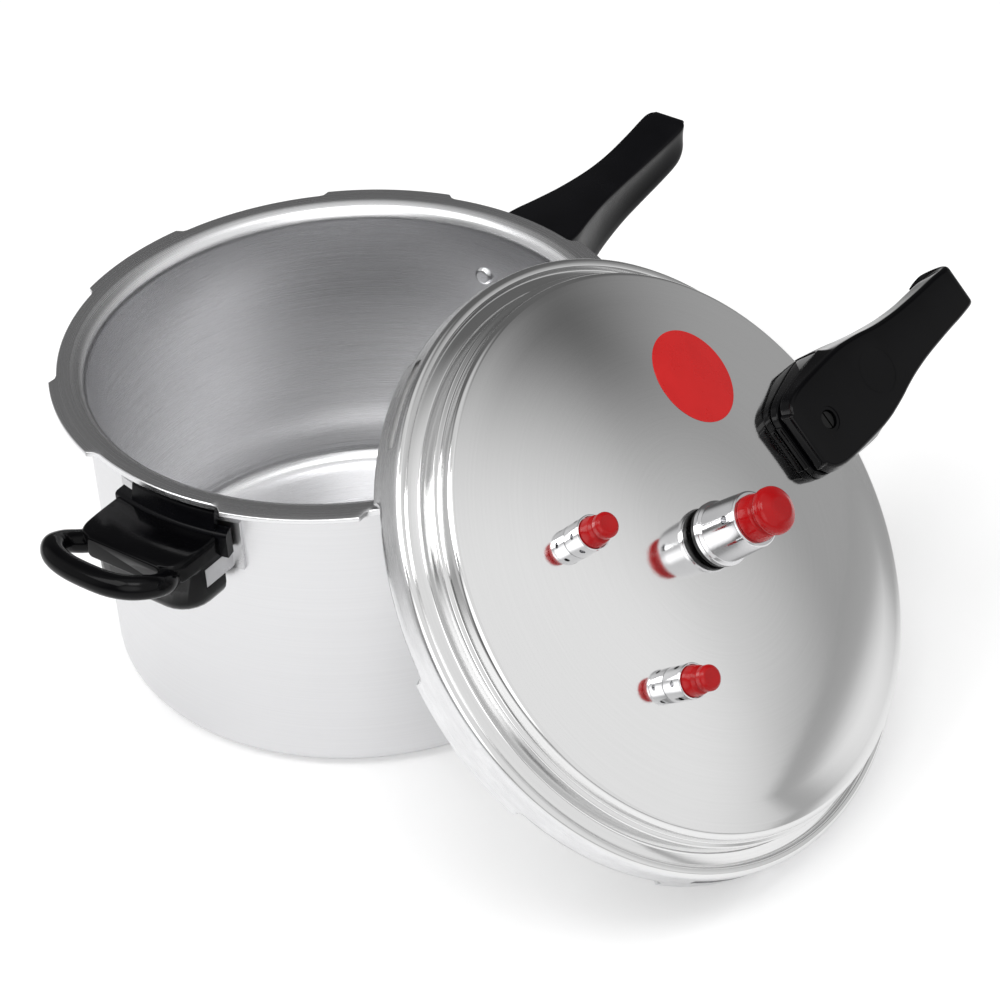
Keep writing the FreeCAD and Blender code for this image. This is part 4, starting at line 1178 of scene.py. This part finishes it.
@dataclass
class Lid(Assembly):
    """The pressed lid: dome, stepped rim, skirt with folded lugs and two gasket windows."""

    skirt: float = 165.5
    drop: float = 4.0
    thick: float = 2.5
    dome_edge: float = 143.0
    dome_edge_high: float = 38.4
    dome_rise: float = 18.5
    disc: float = 150.0
    step: float = 2.7
    step_high: float = 28.0
    shoulder: float = 16.8
    bead: float = 17.0
    lug_span: float = 30.0
    lug_inner: float = 156.7
    lug_top: float = 2.4
    lug_flank: float = 1.1
    bend_outer: float = 3.0
    bend_inner: float = 0.8
    bend_run: float = 0.45
    windows: tuple[float, ...] = (115.0, 240.0)
    window_span: float = 19.0
    window_low: float = 5.5
    window_tall: float = 5.0
    sticker: tuple[float, float] = (90.8, 45.4)
    sticker_radius: float = 26.8
    fold_high: float = field(init=False)
    sphere: float = field(init=False)

    def __post_init__(self) -> None:
        """Work out where the folds start, and the dome's radius from its edge and rise."""
        self.fold_high = self.lug_top + 1.0
        self.sphere = (self.dome_edge**2 + self.dome_rise**2) / (2 * self.dome_rise)

    def dome(self, reach: float, offset: float = 0.0) -> float:
        """The height of the dome's outer face, plus an offset along its normal."""
        centre = self.dome_edge_high + self.dome_rise - self.sphere
        return centre + math.sqrt((self.sphere + offset) ** 2 - reach**2)

    def on_dome(self, reach: float, angle: float) -> Matrix:
        """A frame on the dome with its Z along the dome's normal.

        Args:
            reach: Distance from the lid's axis.
            angle: Degrees from the handle.

        Returns:
            The frame, inside the lid's own.
        """
        centre = self.dome_edge_high + self.dome_rise - self.sphere
        lean = Matrix.Rotation(math.asin(reach / self.sphere), 4, "Y")
        up = Matrix.Translation((0, 0, self.sphere))
        return Matrix.Translation((0, 0, centre)) @ turned(angle) @ lean @ up

    def outline(self) -> list[Vector]:
        """The shell's outline, from the dome's top round the skirt's foot and back inside.

        Returns:
            Its points, as (radius, height).
        """
        t = self.thick
        inner = self.disc + self.step
        edge = int(self.dome_edge)
        out_dome: list[Corner] = [(r, self.dome(r)) for r in range(0, edge, 11)]
        in_dome: list[Corner] = [(r, self.dome(r, -t)) for r in range(edge - 11, -1, -22)]
        foot = -self.drop
        rows = (12.0, 10.5, 8.0, 5.5, 3.4, 2.2, 1.0, -0.4, -1.8)
        skirt_rows: list[Corner] = [(self.skirt, z) for z in rows]
        back_rows: list[Corner] = [(self.skirt - t, z) for z in rows[:0:-1]]
        return rounded(
            out_dome
            + [
                (self.dome_edge, self.dome_edge_high),
                (self.disc, self.dome_edge_high - 1.2, 3.6),
                (self.disc, self.step_high + 0.6, 0.8),
                (inner, self.step_high, 1.1),
                (inner, self.shoulder, 1.6),
                (inner + 6.2, self.shoulder - 2.4, 1.2),
                (inner + 7.9, self.bead, 1.0),
                (self.skirt, self.bead, 3.2),
            ]
            + skirt_rows
            + [(self.skirt, foot, 0.6), (self.skirt - t, foot, 0.6)]
            + back_rows
            + [
                (self.skirt - t, self.bead - t - 0.6, 1.2),
                (inner + 6.5, self.shoulder - 2.4 - t, 1),
                (inner - t, self.shoulder - t, 1.5),
                (inner - t, self.step_high - t + 0.2, 0.8),
                (self.disc - t, self.step_high - t + 0.8, 0.8),
                (self.disc - t, self.dome_edge_high - 1 - t, 2),
                (self.dome_edge, self.dome_edge_high - t),
            ]
            + in_dome
        )

    def folded(self, reach: float, z: float) -> tuple[float, float]:
        """Where a point of the straight skirt goes when its foot is folded into a lug.

        Args:
            reach: The point's distance from the axis.
            z: Its height.

        Returns:
            Its new distance from the axis and its new height.
        """
        run = (self.fold_high - z) / (self.fold_high + self.drop)
        bend = min(run / self.bend_run, 1.0) * math.pi / 2
        slide = max(run - self.bend_run, 0) / (1 - self.bend_run)
        flat = self.skirt - self.bend_outer
        if reach > self.skirt - self.thick / 2:
            x = flat + self.bend_outer * math.cos(bend)
            high = self.lug_top - self.thick + self.bend_outer * (1 - math.sin(bend))
        else:
            x = flat - 0.3 + self.bend_inner * math.cos(bend)
            high = self.lug_top + self.bend_inner * (1 - math.sin(bend))
        return x - slide * (flat - self.lug_inner), high

    def shell(self) -> bmesh.types.BMesh:
        """The shell with its lugs folded in and its windows cut.

        Returns:
            The shell.
        """
        bm = spin_shape(self.outline(), TURNED_STEPS)
        first = 180 / LUGS
        for vert in bm.verts:
            reach = math.hypot(vert.co.x, vert.co.y)
            if reach < self.skirt - self.thick - 0.5 or vert.co.z > self.fold_high:
                continue
            angle = math.degrees(math.atan2(vert.co.y, vert.co.x))
            share = ring_share(angle, first, self.lug_span, self.lug_flank)
            if share:
                new_reach, new_z = self.folded(reach, vert.co.z)
                vert.co.z += (new_z - vert.co.z) * share
                set_reach(vert, reach + (new_reach - reach) * share)
        for angle in self.windows:
            self.open_window(bm, angle)
        bmesh.ops.recalc_face_normals(bm, faces=bm.faces)
        return bm

    def in_window(self, centre: Vector, angle: float) -> bool:
        """Whether a face of the skirt lies in a window.

        Args:
            centre: The face's centre.
            angle: Where the window's middle is, in degrees.

        Returns:
            True if it does.
        """
        low, high = self.window_low - 0.1, self.window_low + self.window_tall + 0.1
        away = (math.degrees(math.atan2(centre.y, centre.x)) - angle + 180) % 360 - 180
        in_skirt = math.hypot(centre.x, centre.y) > self.skirt - self.thick - 0.5
        return in_skirt and low < centre.z < high and abs(away) < self.window_span / 2

    def open_window(self, bm: bmesh.types.BMesh, angle: float) -> None:
        """Cut one narrow window through the skirt.

        Args:
            bm: The shell.
            angle: Where the window's middle is, in degrees.
        """
        gone = [face for face in bm.faces if self.in_window(face.calc_center_median(), angle)]
        bmesh.ops.delete(bm, geom=gone, context="FACES")
        rims = [edge for edge in bm.edges if edge.is_boundary]
        result = bmesh.ops.bridge_loops(bm, edges=rims)
        layer = bm.loops.layers.uv[RING_UV]
        for face in result["faces"]:
            for loop in face.loops:
                loop[layer].uv = (0.25, 0.5)

    def finish_of(self, centre: Vector) -> LidFace:
        """Dome, polished steps or satin skirt.

        Args:
            centre: The centre of a face of the shell.

        Returns:
            The face's finish.
        """
        reach = math.hypot(centre.x, centre.y)
        if reach < self.dome_edge + 2:
            return LidFace.DOME
        on_skirt = reach > self.skirt - 3.2 and centre.z < self.bead - 1.4
        return LidFace.SKIRT if on_skirt else LidFace.STEPS

    def sticker_film(self) -> bmesh.types.BMesh:
        """The bare round film, bent to the dome.

        Returns:
            The film, in its own frame on the dome.
        """
        r, high = self.sticker_radius, 0.3
        outer = rounded([(0, high), (r - 0.8, high), (r, high, 0.2), (r, 0.05)], fine=3)
        disc = spin_shape([Vector((ring, high)) for ring in (0, 6, 12, 18, 23)] + outer[1:], 96)
        for vert in disc.verts:
            vert.co.z += math.sqrt(self.sphere**2 - vert.co.x**2 - vert.co.y**2) - self.sphere
        return disc

    def build(self) -> None:
        """Make the shell and the plain red disc on it."""
        self.publish(
            self.shell(), "lid_shell_pressed", "lid", (Finish.LID_DOME, Finish.LID_RIM, Finish.LID_SKIRT),
            ("lid_shell",), crease=38, choose=self.finish_of,
        )
        self.publish(
            self.sticker_film(), "warning_disc", "lid", (Finish.FILM,), ("sticker_disc",),
            frame_in=self.on_dome(*self.sticker),
        )


@dataclass
class LidHandle(Assembly):
    """The lid's grip with its hanging hook, and the shoe under it."""

    lid: Lid
    start: float = 88.5
    length: float = 170.5
    end_half: float = 14.8
    top: float = 62.5
    rise: float = 7.5
    seam: float = 53.7
    dome_gap: float = 0.3
    screw: float = 113.0
    recess: tuple[tuple[float, float], ...] = ((7.2, 0.35), (5.3, 2.6))
    bare_place: float = 163.0
    bare_ring: tuple[float, float, float] = (12.6, 13.4, 0.12)

    def crest(self, along: float) -> float:
        """Height of the grip's top at a distance along it."""
        return self.top + self.rise * along / self.length

    def ground(self, reach: float) -> float:
        """Height of the shoe's underside at a distance from the lid's axis."""
        return self.lid.dome(min(reach, self.lid.dome_edge)) + self.dome_gap

    def seat(self, reach: float) -> Matrix:
        """A frame on the grip's top, leaning with it.

        Args:
            reach: Distance from the lid's axis.

        Returns:
            The frame, in the pot's.
        """
        lean = Matrix.Rotation(-math.atan2(self.rise, self.length), 4, "Y")
        at = Matrix.Translation((reach, 0, self.crest(reach - self.start)))
        return self.place @ at @ lean

    def sections(self) -> list[Section]:
        """The grip's sections from the near end, along its top, and down into the hook.

        Returns:
            The sections in order.
        """
        end = self.start + self.length
        far = self.top + self.rise
        s = self.seam
        # along, height of the underside, half width at the top and at the bottom
        rows = [
            (5.4, s + 0.3, 16.6, 17.8), (7.4, s + 0.3, 19.4, 20.6), (10.8, s + 0.3, 21.9, 23.0),
            (16.5, s + 0.3, 23.6, 24.8), (25.0, s + 0.3, 24.5, 26.0), (40.0, s + 0.3, 24.9, 27.4),
            (54.0, s + 0.3, 24.9, 28.3), (59.0, s - 4.0, 24.7, 28.2), (64.0, 35.0, 24.3, 27.4),
            (68.0, 24.5, 23.8, 26.4), (76.0, 26.0, 22.4, 24.6), (82.0, 33.0, 21.2, 23.2),
            (90.0, 38.5, 19.3, 20.8), (100.0, 42.5, 17.4, 18.4), (114.0, 46.6, 15.7, 16.0),
            (128.0, far - 19.2, 14.8, 14.9), (142.0, far - 18.0, 14.2, 14.6), (154.0, far - 16.5, 13.9, 14.4),
        ]
        made = []
        for along, low, top_half, low_half in rows:
            x = self.start + along
            soft = 1.2 if low > s else 3.0
            made.append(Section((x, self.crest(along)), (x, low), top_half, low_half, 2.6, soft))
        half = self.end_half
        made += [
            Section((end - 4.0, far - 0.3), (end - 9.0, far - 16.0), half - 1.6, half - 1.8, 3.0, 2.6),
            Section((end - 0.4, far - 5.0), (end - 7.6, far - 17.6), half - 1.2, half - 2.6, 2.2, 2.4),
            Section((end + 0.3, far - 14.0), (end - 6.2, far - 19.6), half - 0.6, half - 2.8, 2.0, 2.2),
            Section((end - 0.2, far - 22.0), (end - 6.6, far - 21.6), half - 0.6, half - 2.8, 2.0, 2.0),
            Section((end - 4.6, far - 26.6), (end - 8.2, far - 23.0), half - 1.6, half - 3.0, 1.8, 1.8),
            Section((end - 8.6, far - 27.4), (end - 9.6, far - 24.2), half - 2.4, half - 3.2, 1.2, 1.2),
        ]
        return made

    def shoe(self) -> bmesh.types.BMesh:
        """The shoe, lofted along the handle with its underside on the dome.

        Returns:
            The closed shoe.
        """
        made = []
        # along, half width
        rows = (
            (1.8, 13.2), (2.3, 16.0), (3.7, 18.9), (6.8, 21.6), (11.0, 23.2), (16.5, 24.4), (25.0, 25.5),
            (36.0, 26.6), (48.0, 27.4), (57.0, 27.6),
        )
        for along, half in rows:
            x = self.start + along
            low = self.lid.dome(x) + self.dome_gap
            made.append(Section((x, self.seam), (x, low), half, half + 0.5, 0.8, 0.8))
        bm = grip_shape(made, 4, 1.5, 0.3)
        for vert in bm.verts:
            if vert.co.z < self.seam - 1.4:
                middle = self.ground(vert.co.x)
                here = self.ground(math.hypot(vert.co.x, vert.co.y))
                vert.co.z += (here - middle) * min((self.seam - vert.co.z) / (self.seam - middle), 1)
        return bm

    def build(self) -> None:
        """Make grip and shoe, sink the screw recess, dress all."""
        grip = self.publish(
            grip_shape(self.sections(), 5, 2.6, 1.0), "lid_grip", "lid", (Finish.BAKELITE,),
            ("lid_handle_grip",), crease=42,
        )
        clear = 5.0
        for radius, deep in self.recess:
            punch(grip, peg(radius, -deep, clear, 48), self.seat(self.screw))
        inner, outer, deep = self.bare_ring
        corners = [(inner, -deep), (outer, -deep), (outer, clear), (inner, clear)]
        groove = spin_shape(rounded(corners, closed=True), 64, closed=True)
        punch(grip, groove, self.seat(self.bare_place))
        self.publish(self.shoe(), "lid_shoe", "lid", (Finish.BAKELITE,), ("lid_handle_shoe",), crease=42)


@dataclass
class Regulator(Assembly):
    """The weight that rides on the vent tube: near-black foot ring (partly a dark base, partly painted shade
    of the gap under it), chrome body, red collar and knob.
    """

    radius: float = 17.2
    top_radius: float = 14.6
    high: float = 32.0
    collar: float = 12.4
    knob: float = 12.5
    knob_high: float = 52.0
    gap: float = 1.6

    def chrome(self) -> bmesh.types.BMesh:
        """The body: a short rim and a slightly tapered barrel.

        Returns:
            The closed body, with a bore for the tube.
        """
        r, g, t, h = self.radius, self.gap, self.top_radius, self.high
        points = rounded(
            [
                (9.0, g + 2.6), (r - 0.7, g + 2.6, 0.3), (r, g + 3.4, 0.4), (r, g + 6.0, 0.9),
                (r - 1.2, g + 7.0, 0.5), (r - 1.6, g + 7.3, 0.4), (t + 0.5, h - 8), (t, h - 0.6, 0.6),
                (t - 0.8, h, 0.4), (7.0, h), (7.0, h - 3), (6.0, h - 4), (6.0, g + 6), (9.0, g + 5),
            ],
            closed=True, fine=5,
        )
        return spin_shape(points, 120, closed=True)

    def ring(self) -> bmesh.types.BMesh:
        """The near-black ring at the foot of the weight: partly a dark base, partly painted shade of the gap
        under the chrome body.

        Returns:
            The closed ring.
        """
        r, low, high = self.radius - 0.9, self.gap, self.gap + 2.55
        corners = [(8.5, low), (r, low, 0.6), (r, high), (8.5, high)]
        return spin_shape(rounded(corners, closed=True), 96, closed=True)

    def cap(self) -> bmesh.types.BMesh:
        """The red collar and mushroom knob.

        Returns:
            The closed cap.
        """
        k, c, z, top = self.knob, self.collar, self.high, self.knob_high
        return spin_shape(
            rounded(
                [
                    (0, z - 1), (6.8, z - 1), (6.8, z + 0.1), (c, z + 0.1, 0.3), (c, z + 2.0),
                    (c - 1.2, z + 7.4, 1.8), (k - 3.4, z + 8.8, 1.4), (k - 3.2, top - 10.4, 0.8),
                    (k, top - 8.6, 2.6), (k - 0.2, top - 3.6, 4.0), (k - 6.2, top - 0.1, 7), (0, top),
                ],
                fine=7,
            ),
            96,
        )

    def build(self) -> None:
        """Make the weight's pieces and dress them."""
        body = self.publish(
            self.chrome(), "weight_chrome", "regulator_weight", (Finish.CHROME,), ("weight_body",), crease=24
        )
        self.drill(body, 2.1, 6, (self.radius - 1, self.high - 7), (141, 261, 381))
        # the foot ring's near-black is partly painted shade of the gap between the weight and the lid
        self.publish(
            self.ring(), "weight_ring_and_gap_shade", "regulator_weight", (Finish.BLACK_RING_AND_GAP_SHADE,), ("weight_base_ring",)
        )
        self.publish(self.cap(), "weight_red_knob", "regulator_weight", (Finish.RED,), ("weight_knob",))


@dataclass
class ReliefValve(Assembly):
    """One spring relief valve on the dome."""

    side: str
    radius: float = 9.2
    high: float = 14.0
    collar: float = 8.0
    knob: float = 6.6
    button_high: float = 28.4

    def chrome(self) -> bmesh.types.BMesh:
        """The vented body with its bright lip.

        Returns:
            The closed body, open inside for the plunger.
        """
        r, h, c = self.radius, self.high, self.collar
        points = rounded(
            [
                (5.6, 3), (5.6, 0.1), (r - 0.2, 0.1, 0.2), (r - 0.2, h - 2.4, 0.2), (r, h - 2.0, 0.2),
                (r, h - 0.4, 0.3), (r - 0.3, h, 0.2), (c + 0.3, h, 0.2), (c + 0.3, h - 3.0), (5.8, h - 3.2),
            ],
            closed=True, fine=4,
        )
        return spin_shape(points, 72, closed=True)

    def button(self) -> bmesh.types.BMesh:
        """The red plunger collar and round button.

        Returns:
            The closed button.
        """
        h, top, c, k = self.high, self.button_high, self.collar, self.knob
        return spin_shape(
            rounded(
                [
                    (1.8, h - 2.7), (c, h - 2.7), (c, h + 1.0), (c - 0.9, h + 5.8, 1.2),
                    (k - 1.4, h + 7.0, 0.8), (k - 1.3, top - 6.3, 0.5), (k, top - 5.2, 1.2),
                    (k, top - 1.6, 1.5), (k - 1.8, top - 0.1, 1.4), (k - 3.0, top - 0.35), (0, top - 0.35),
                ],
                fine=5,
            ),
            64,
        )

    def build(self) -> None:
        """Make the valve's visible pieces and dress them."""
        name = f"valve_{self.side}"
        body = self.publish(
            self.chrome(), f"{name}_chrome", "lid", (Finish.CHROME,), (f"{name}_body",), crease=24
        )
        self.drill(body, 1.5, 3, (self.radius, self.high * 0.54), range(0, 360, 60))
        self.publish(
            self.button(), f"{name}_red", f"{self.side}_plunger", (Finish.RED,), (f"{name}_button",)
        )


@dataclass
class Hardware:
    """Rivets, brackets, screws, seals and springs: shapes that stay as they are and get a finish."""

    special: tuple[tuple[str, Finish], ...] = (
        ("rivets", Finish.RIVET), ("lid_handle_screw", Finish.DARK_STEEL), ("gasket", Finish.RUBBER),
        ("washer", Finish.RUBBER),
    )

    def build(self) -> None:
        """Dress every node of the frame; those that a shaped piece replaces stay plain steel."""
        for name, node in frame["nodes"].items():
            finish = next((f for key, f in self.special if key in name), Finish.STEEL)
            node.data.materials.clear()
            node.data.materials.append(finish.value.material())
            LOG.info("%s: %s", name, finish.name)


# ------------------------------------------------------------------ studio


@dataclass(frozen=True)
class SoftBox:
    """A bright or dark patch of the studio, seen by metal and lighting the rest."""

    towards: tuple[float, float, float]
    width: float
    edge: float
    strength: float

    def cosines(self) -> Span:
        """Cosines of the angles at which the patch ends and at which it is full."""
        full = max(self.width - self.edge, 0)
        return math.cos(math.radians(self.width + self.edge)), math.cos(math.radians(full))


@dataclass
class Studio:
    """Floor, soft studio surroundings, lamps and camera."""

    base: float = 0.17
    least: float = 0.02
    fill: float = 0.85
    boxes: tuple[SoftBox, ...] = (
        SoftBox((0.71, -0.59, 0.38), 44, 17, 0.92),
        SoftBox((-0.16, -0.85, 0.50), 20, 12, 2.1),
        SoftBox((0.0, 0.0, 1.0), 26, 14, 0.75),
        SoftBox((-1.0, 0.1, 0.35), 30, 14, 0.60),
        SoftBox((0.86, 0.50, 0.05), 20, 12, 0.30),
    )
    floor_half: float = 6.0
    floor_tone: float = 0.86
    floor_far_tone: float = 0.5
    floor_fade: Span = (0.45, 1.3)
    floor_glow: float = 0.32
    floor_glow_in_metal: float = 0.22
    lens: float = 112.03
    eye: tuple[float, float, float] = (0.07962, -1.41001, 1.11802)
    eye_right: tuple[float, float, float] = (0.99770, -0.04052, -0.05437)
    eye_up: tuple[float, float, float] = (0.06780, 0.59620, 0.79997)

    def floor_material(self) -> bpy.types.Material:
        """Pale and lifted to white for the eye; metal sees it pale near the canner and darker far off.

        Returns:
            The floor's material.
        """
        mat = bpy.data.materials.new("pale_floor")
        mat.use_nodes = True
        t = Tree(mat.node_tree)
        shader = t.add("ShaderNodeBsdfPrincipled")
        shader.inputs["Roughness"].default_value = 0.7
        shader.inputs["Specular IOR Level"].default_value = 0.2
        shader.inputs["Emission Color"].default_value = (1, 1, 1, 1)
        rays = t.add("ShaderNodeLightPath").outputs
        away = t.add("ShaderNodeVectorMath", operation="LENGTH")
        t.join(t.add("ShaderNodeTexCoord").outputs["Object"], away.inputs[0])
        near = t.ranged(away.outputs["Value"], self.floor_fade, (1.0, 0.0), soft=True)
        in_metal = t.math("MULTIPLY", near, self.floor_glow_in_metal)
        in_metal = t.math("MULTIPLY", rays["Is Glossy Ray"], in_metal)
        to_eye = t.math("MULTIPLY", rays["Is Camera Ray"], self.floor_glow)
        t.join(t.math("ADD", to_eye, in_metal), shader.inputs["Emission Strength"])
        far = t.math("MULTIPLY", rays["Is Glossy Ray"], t.math("SUBTRACT", 1.0, near))
        tone = t.blend(far, self.floor_tone, self.floor_far_tone)
        grey = t.add("ShaderNodeCombineColor")
        for channel in range(3):
            t.join(tone, grey.inputs[channel])
        t.join(grey.outputs[0], shader.inputs["Base Color"])
        t.join(shader.outputs[0], t.add("ShaderNodeOutputMaterial").inputs["Surface"])
        return mat

    def floor(self) -> None:
        """A wide pale floor that keeps the canner's shadow."""
        bm = bmesh.new()
        bmesh.ops.create_grid(bm, x_segments=1, y_segments=1, size=self.floor_half)
        mesh = bpy.data.meshes.new("floor")
        bm.to_mesh(mesh)
        bm.free()
        mesh.materials.append(self.floor_material())
        floor = bpy.data.objects.new("floor", mesh)
        bpy.context.scene.collection.objects.link(floor)

    def surroundings(self) -> None:
        """White to the eye, soft boxes and darker corners to the metal."""
        world = bpy.data.worlds.new("studio")
        bpy.context.scene.world = world
        world.use_nodes = True
        t = Tree(world.node_tree)
        where = t.add("ShaderNodeTexCoord").outputs["Generated"]
        total: Value = self.base
        for box in self.boxes:
            dot = t.add("ShaderNodeVectorMath", operation="DOT_PRODUCT")
            t.join(where, dot.inputs[0])
            dot.inputs[1].default_value = Vector(box.towards).normalized()
            patch = t.ranged(dot.outputs["Value"], box.cosines(), (0.0, box.strength), soft=True)
            total = t.math("ADD", patch, total)
        rays = t.add("ShaderNodeLightPath").outputs
        in_metal = t.blend(rays["Is Glossy Ray"], self.fill, t.math("MAXIMUM", total, self.least))
        shade = t.add("ShaderNodeBackground")
        t.join(t.blend(rays["Is Camera Ray"], in_metal, 1.0), shade.inputs["Strength"])
        t.join(shade.outputs[0], t.add("ShaderNodeOutputWorld").inputs["Surface"])

    def lamp(self, name: str, at: Sequence[float], size: float, power: float) -> None:
        """A square soft lamp that faces the canner.

        Args:
            name: The lamp's name.
            at: Its place, in metres.
            size: Its side, in metres.
            power: Its power, in watts.
        """
        data = bpy.data.lights.new(name, "AREA")
        data.size = size
        data.energy = power
        lamp = bpy.data.objects.new(name, data)
        lamp.location = at
        towards = Vector((0.05, 0, 0.1)) - Vector(at)
        lamp.rotation_euler = towards.to_track_quat("-Z", "Y").to_euler()
        bpy.context.scene.collection.objects.link(lamp)

    def camera(self) -> None:
        """The camera: a long lens, from in front and above."""
        data = bpy.data.cameras.new("camera")
        data.lens = self.lens
        data.sensor_width = 36
        data.dof.use_dof = False
        data.clip_end = 50
        eye = bpy.data.objects.new("camera", data)
        right, up = Vector(self.eye_right), Vector(self.eye_up)
        back = right.cross(up).normalized()
        up = back.cross(right).normalized()
        turn = Matrix((right.normalized(), up, back)).transposed().to_4x4()
        eye.matrix_world = Matrix.Translation(self.eye) @ turn
        bpy.context.scene.collection.objects.link(eye)
        bpy.context.scene.camera = eye

    def build(self) -> None:
        """Set the whole studio up."""
        self.floor()
        self.surroundings()
        self.lamp("key", (-0.9, -0.5, 1.6), 1.0, 9)
        self.lamp("front", (0.02, -0.75, 1.9), 0.7, 6)
        self.camera()
        bpy.context.scene.view_settings.view_transform = "Standard"


def main() -> None:
    """Build and dress the canner, piece by piece, and set up the studio."""
    logging.basicConfig(level=logging.INFO, format="%(message)s")
    Hardware().build()
    Pot(Matrix()).build()
    LongHandle(turned(LONG_HANDLE_AT)).build()
    HelperHandle(turned(HELPER_AT)).build()
    place = lid_frame()
    lid = Lid(place)
    lid.build()
    LidHandle(place, lid).build()
    Regulator(place @ lid.on_dome(0, 0)).build()
    for side, angle in VALVES_AT.items():
        ReliefValve(place @ lid.on_dome(VALVE_REACH, angle), side).build()
    Studio().build()


if __name__ == "__main__":
    main()
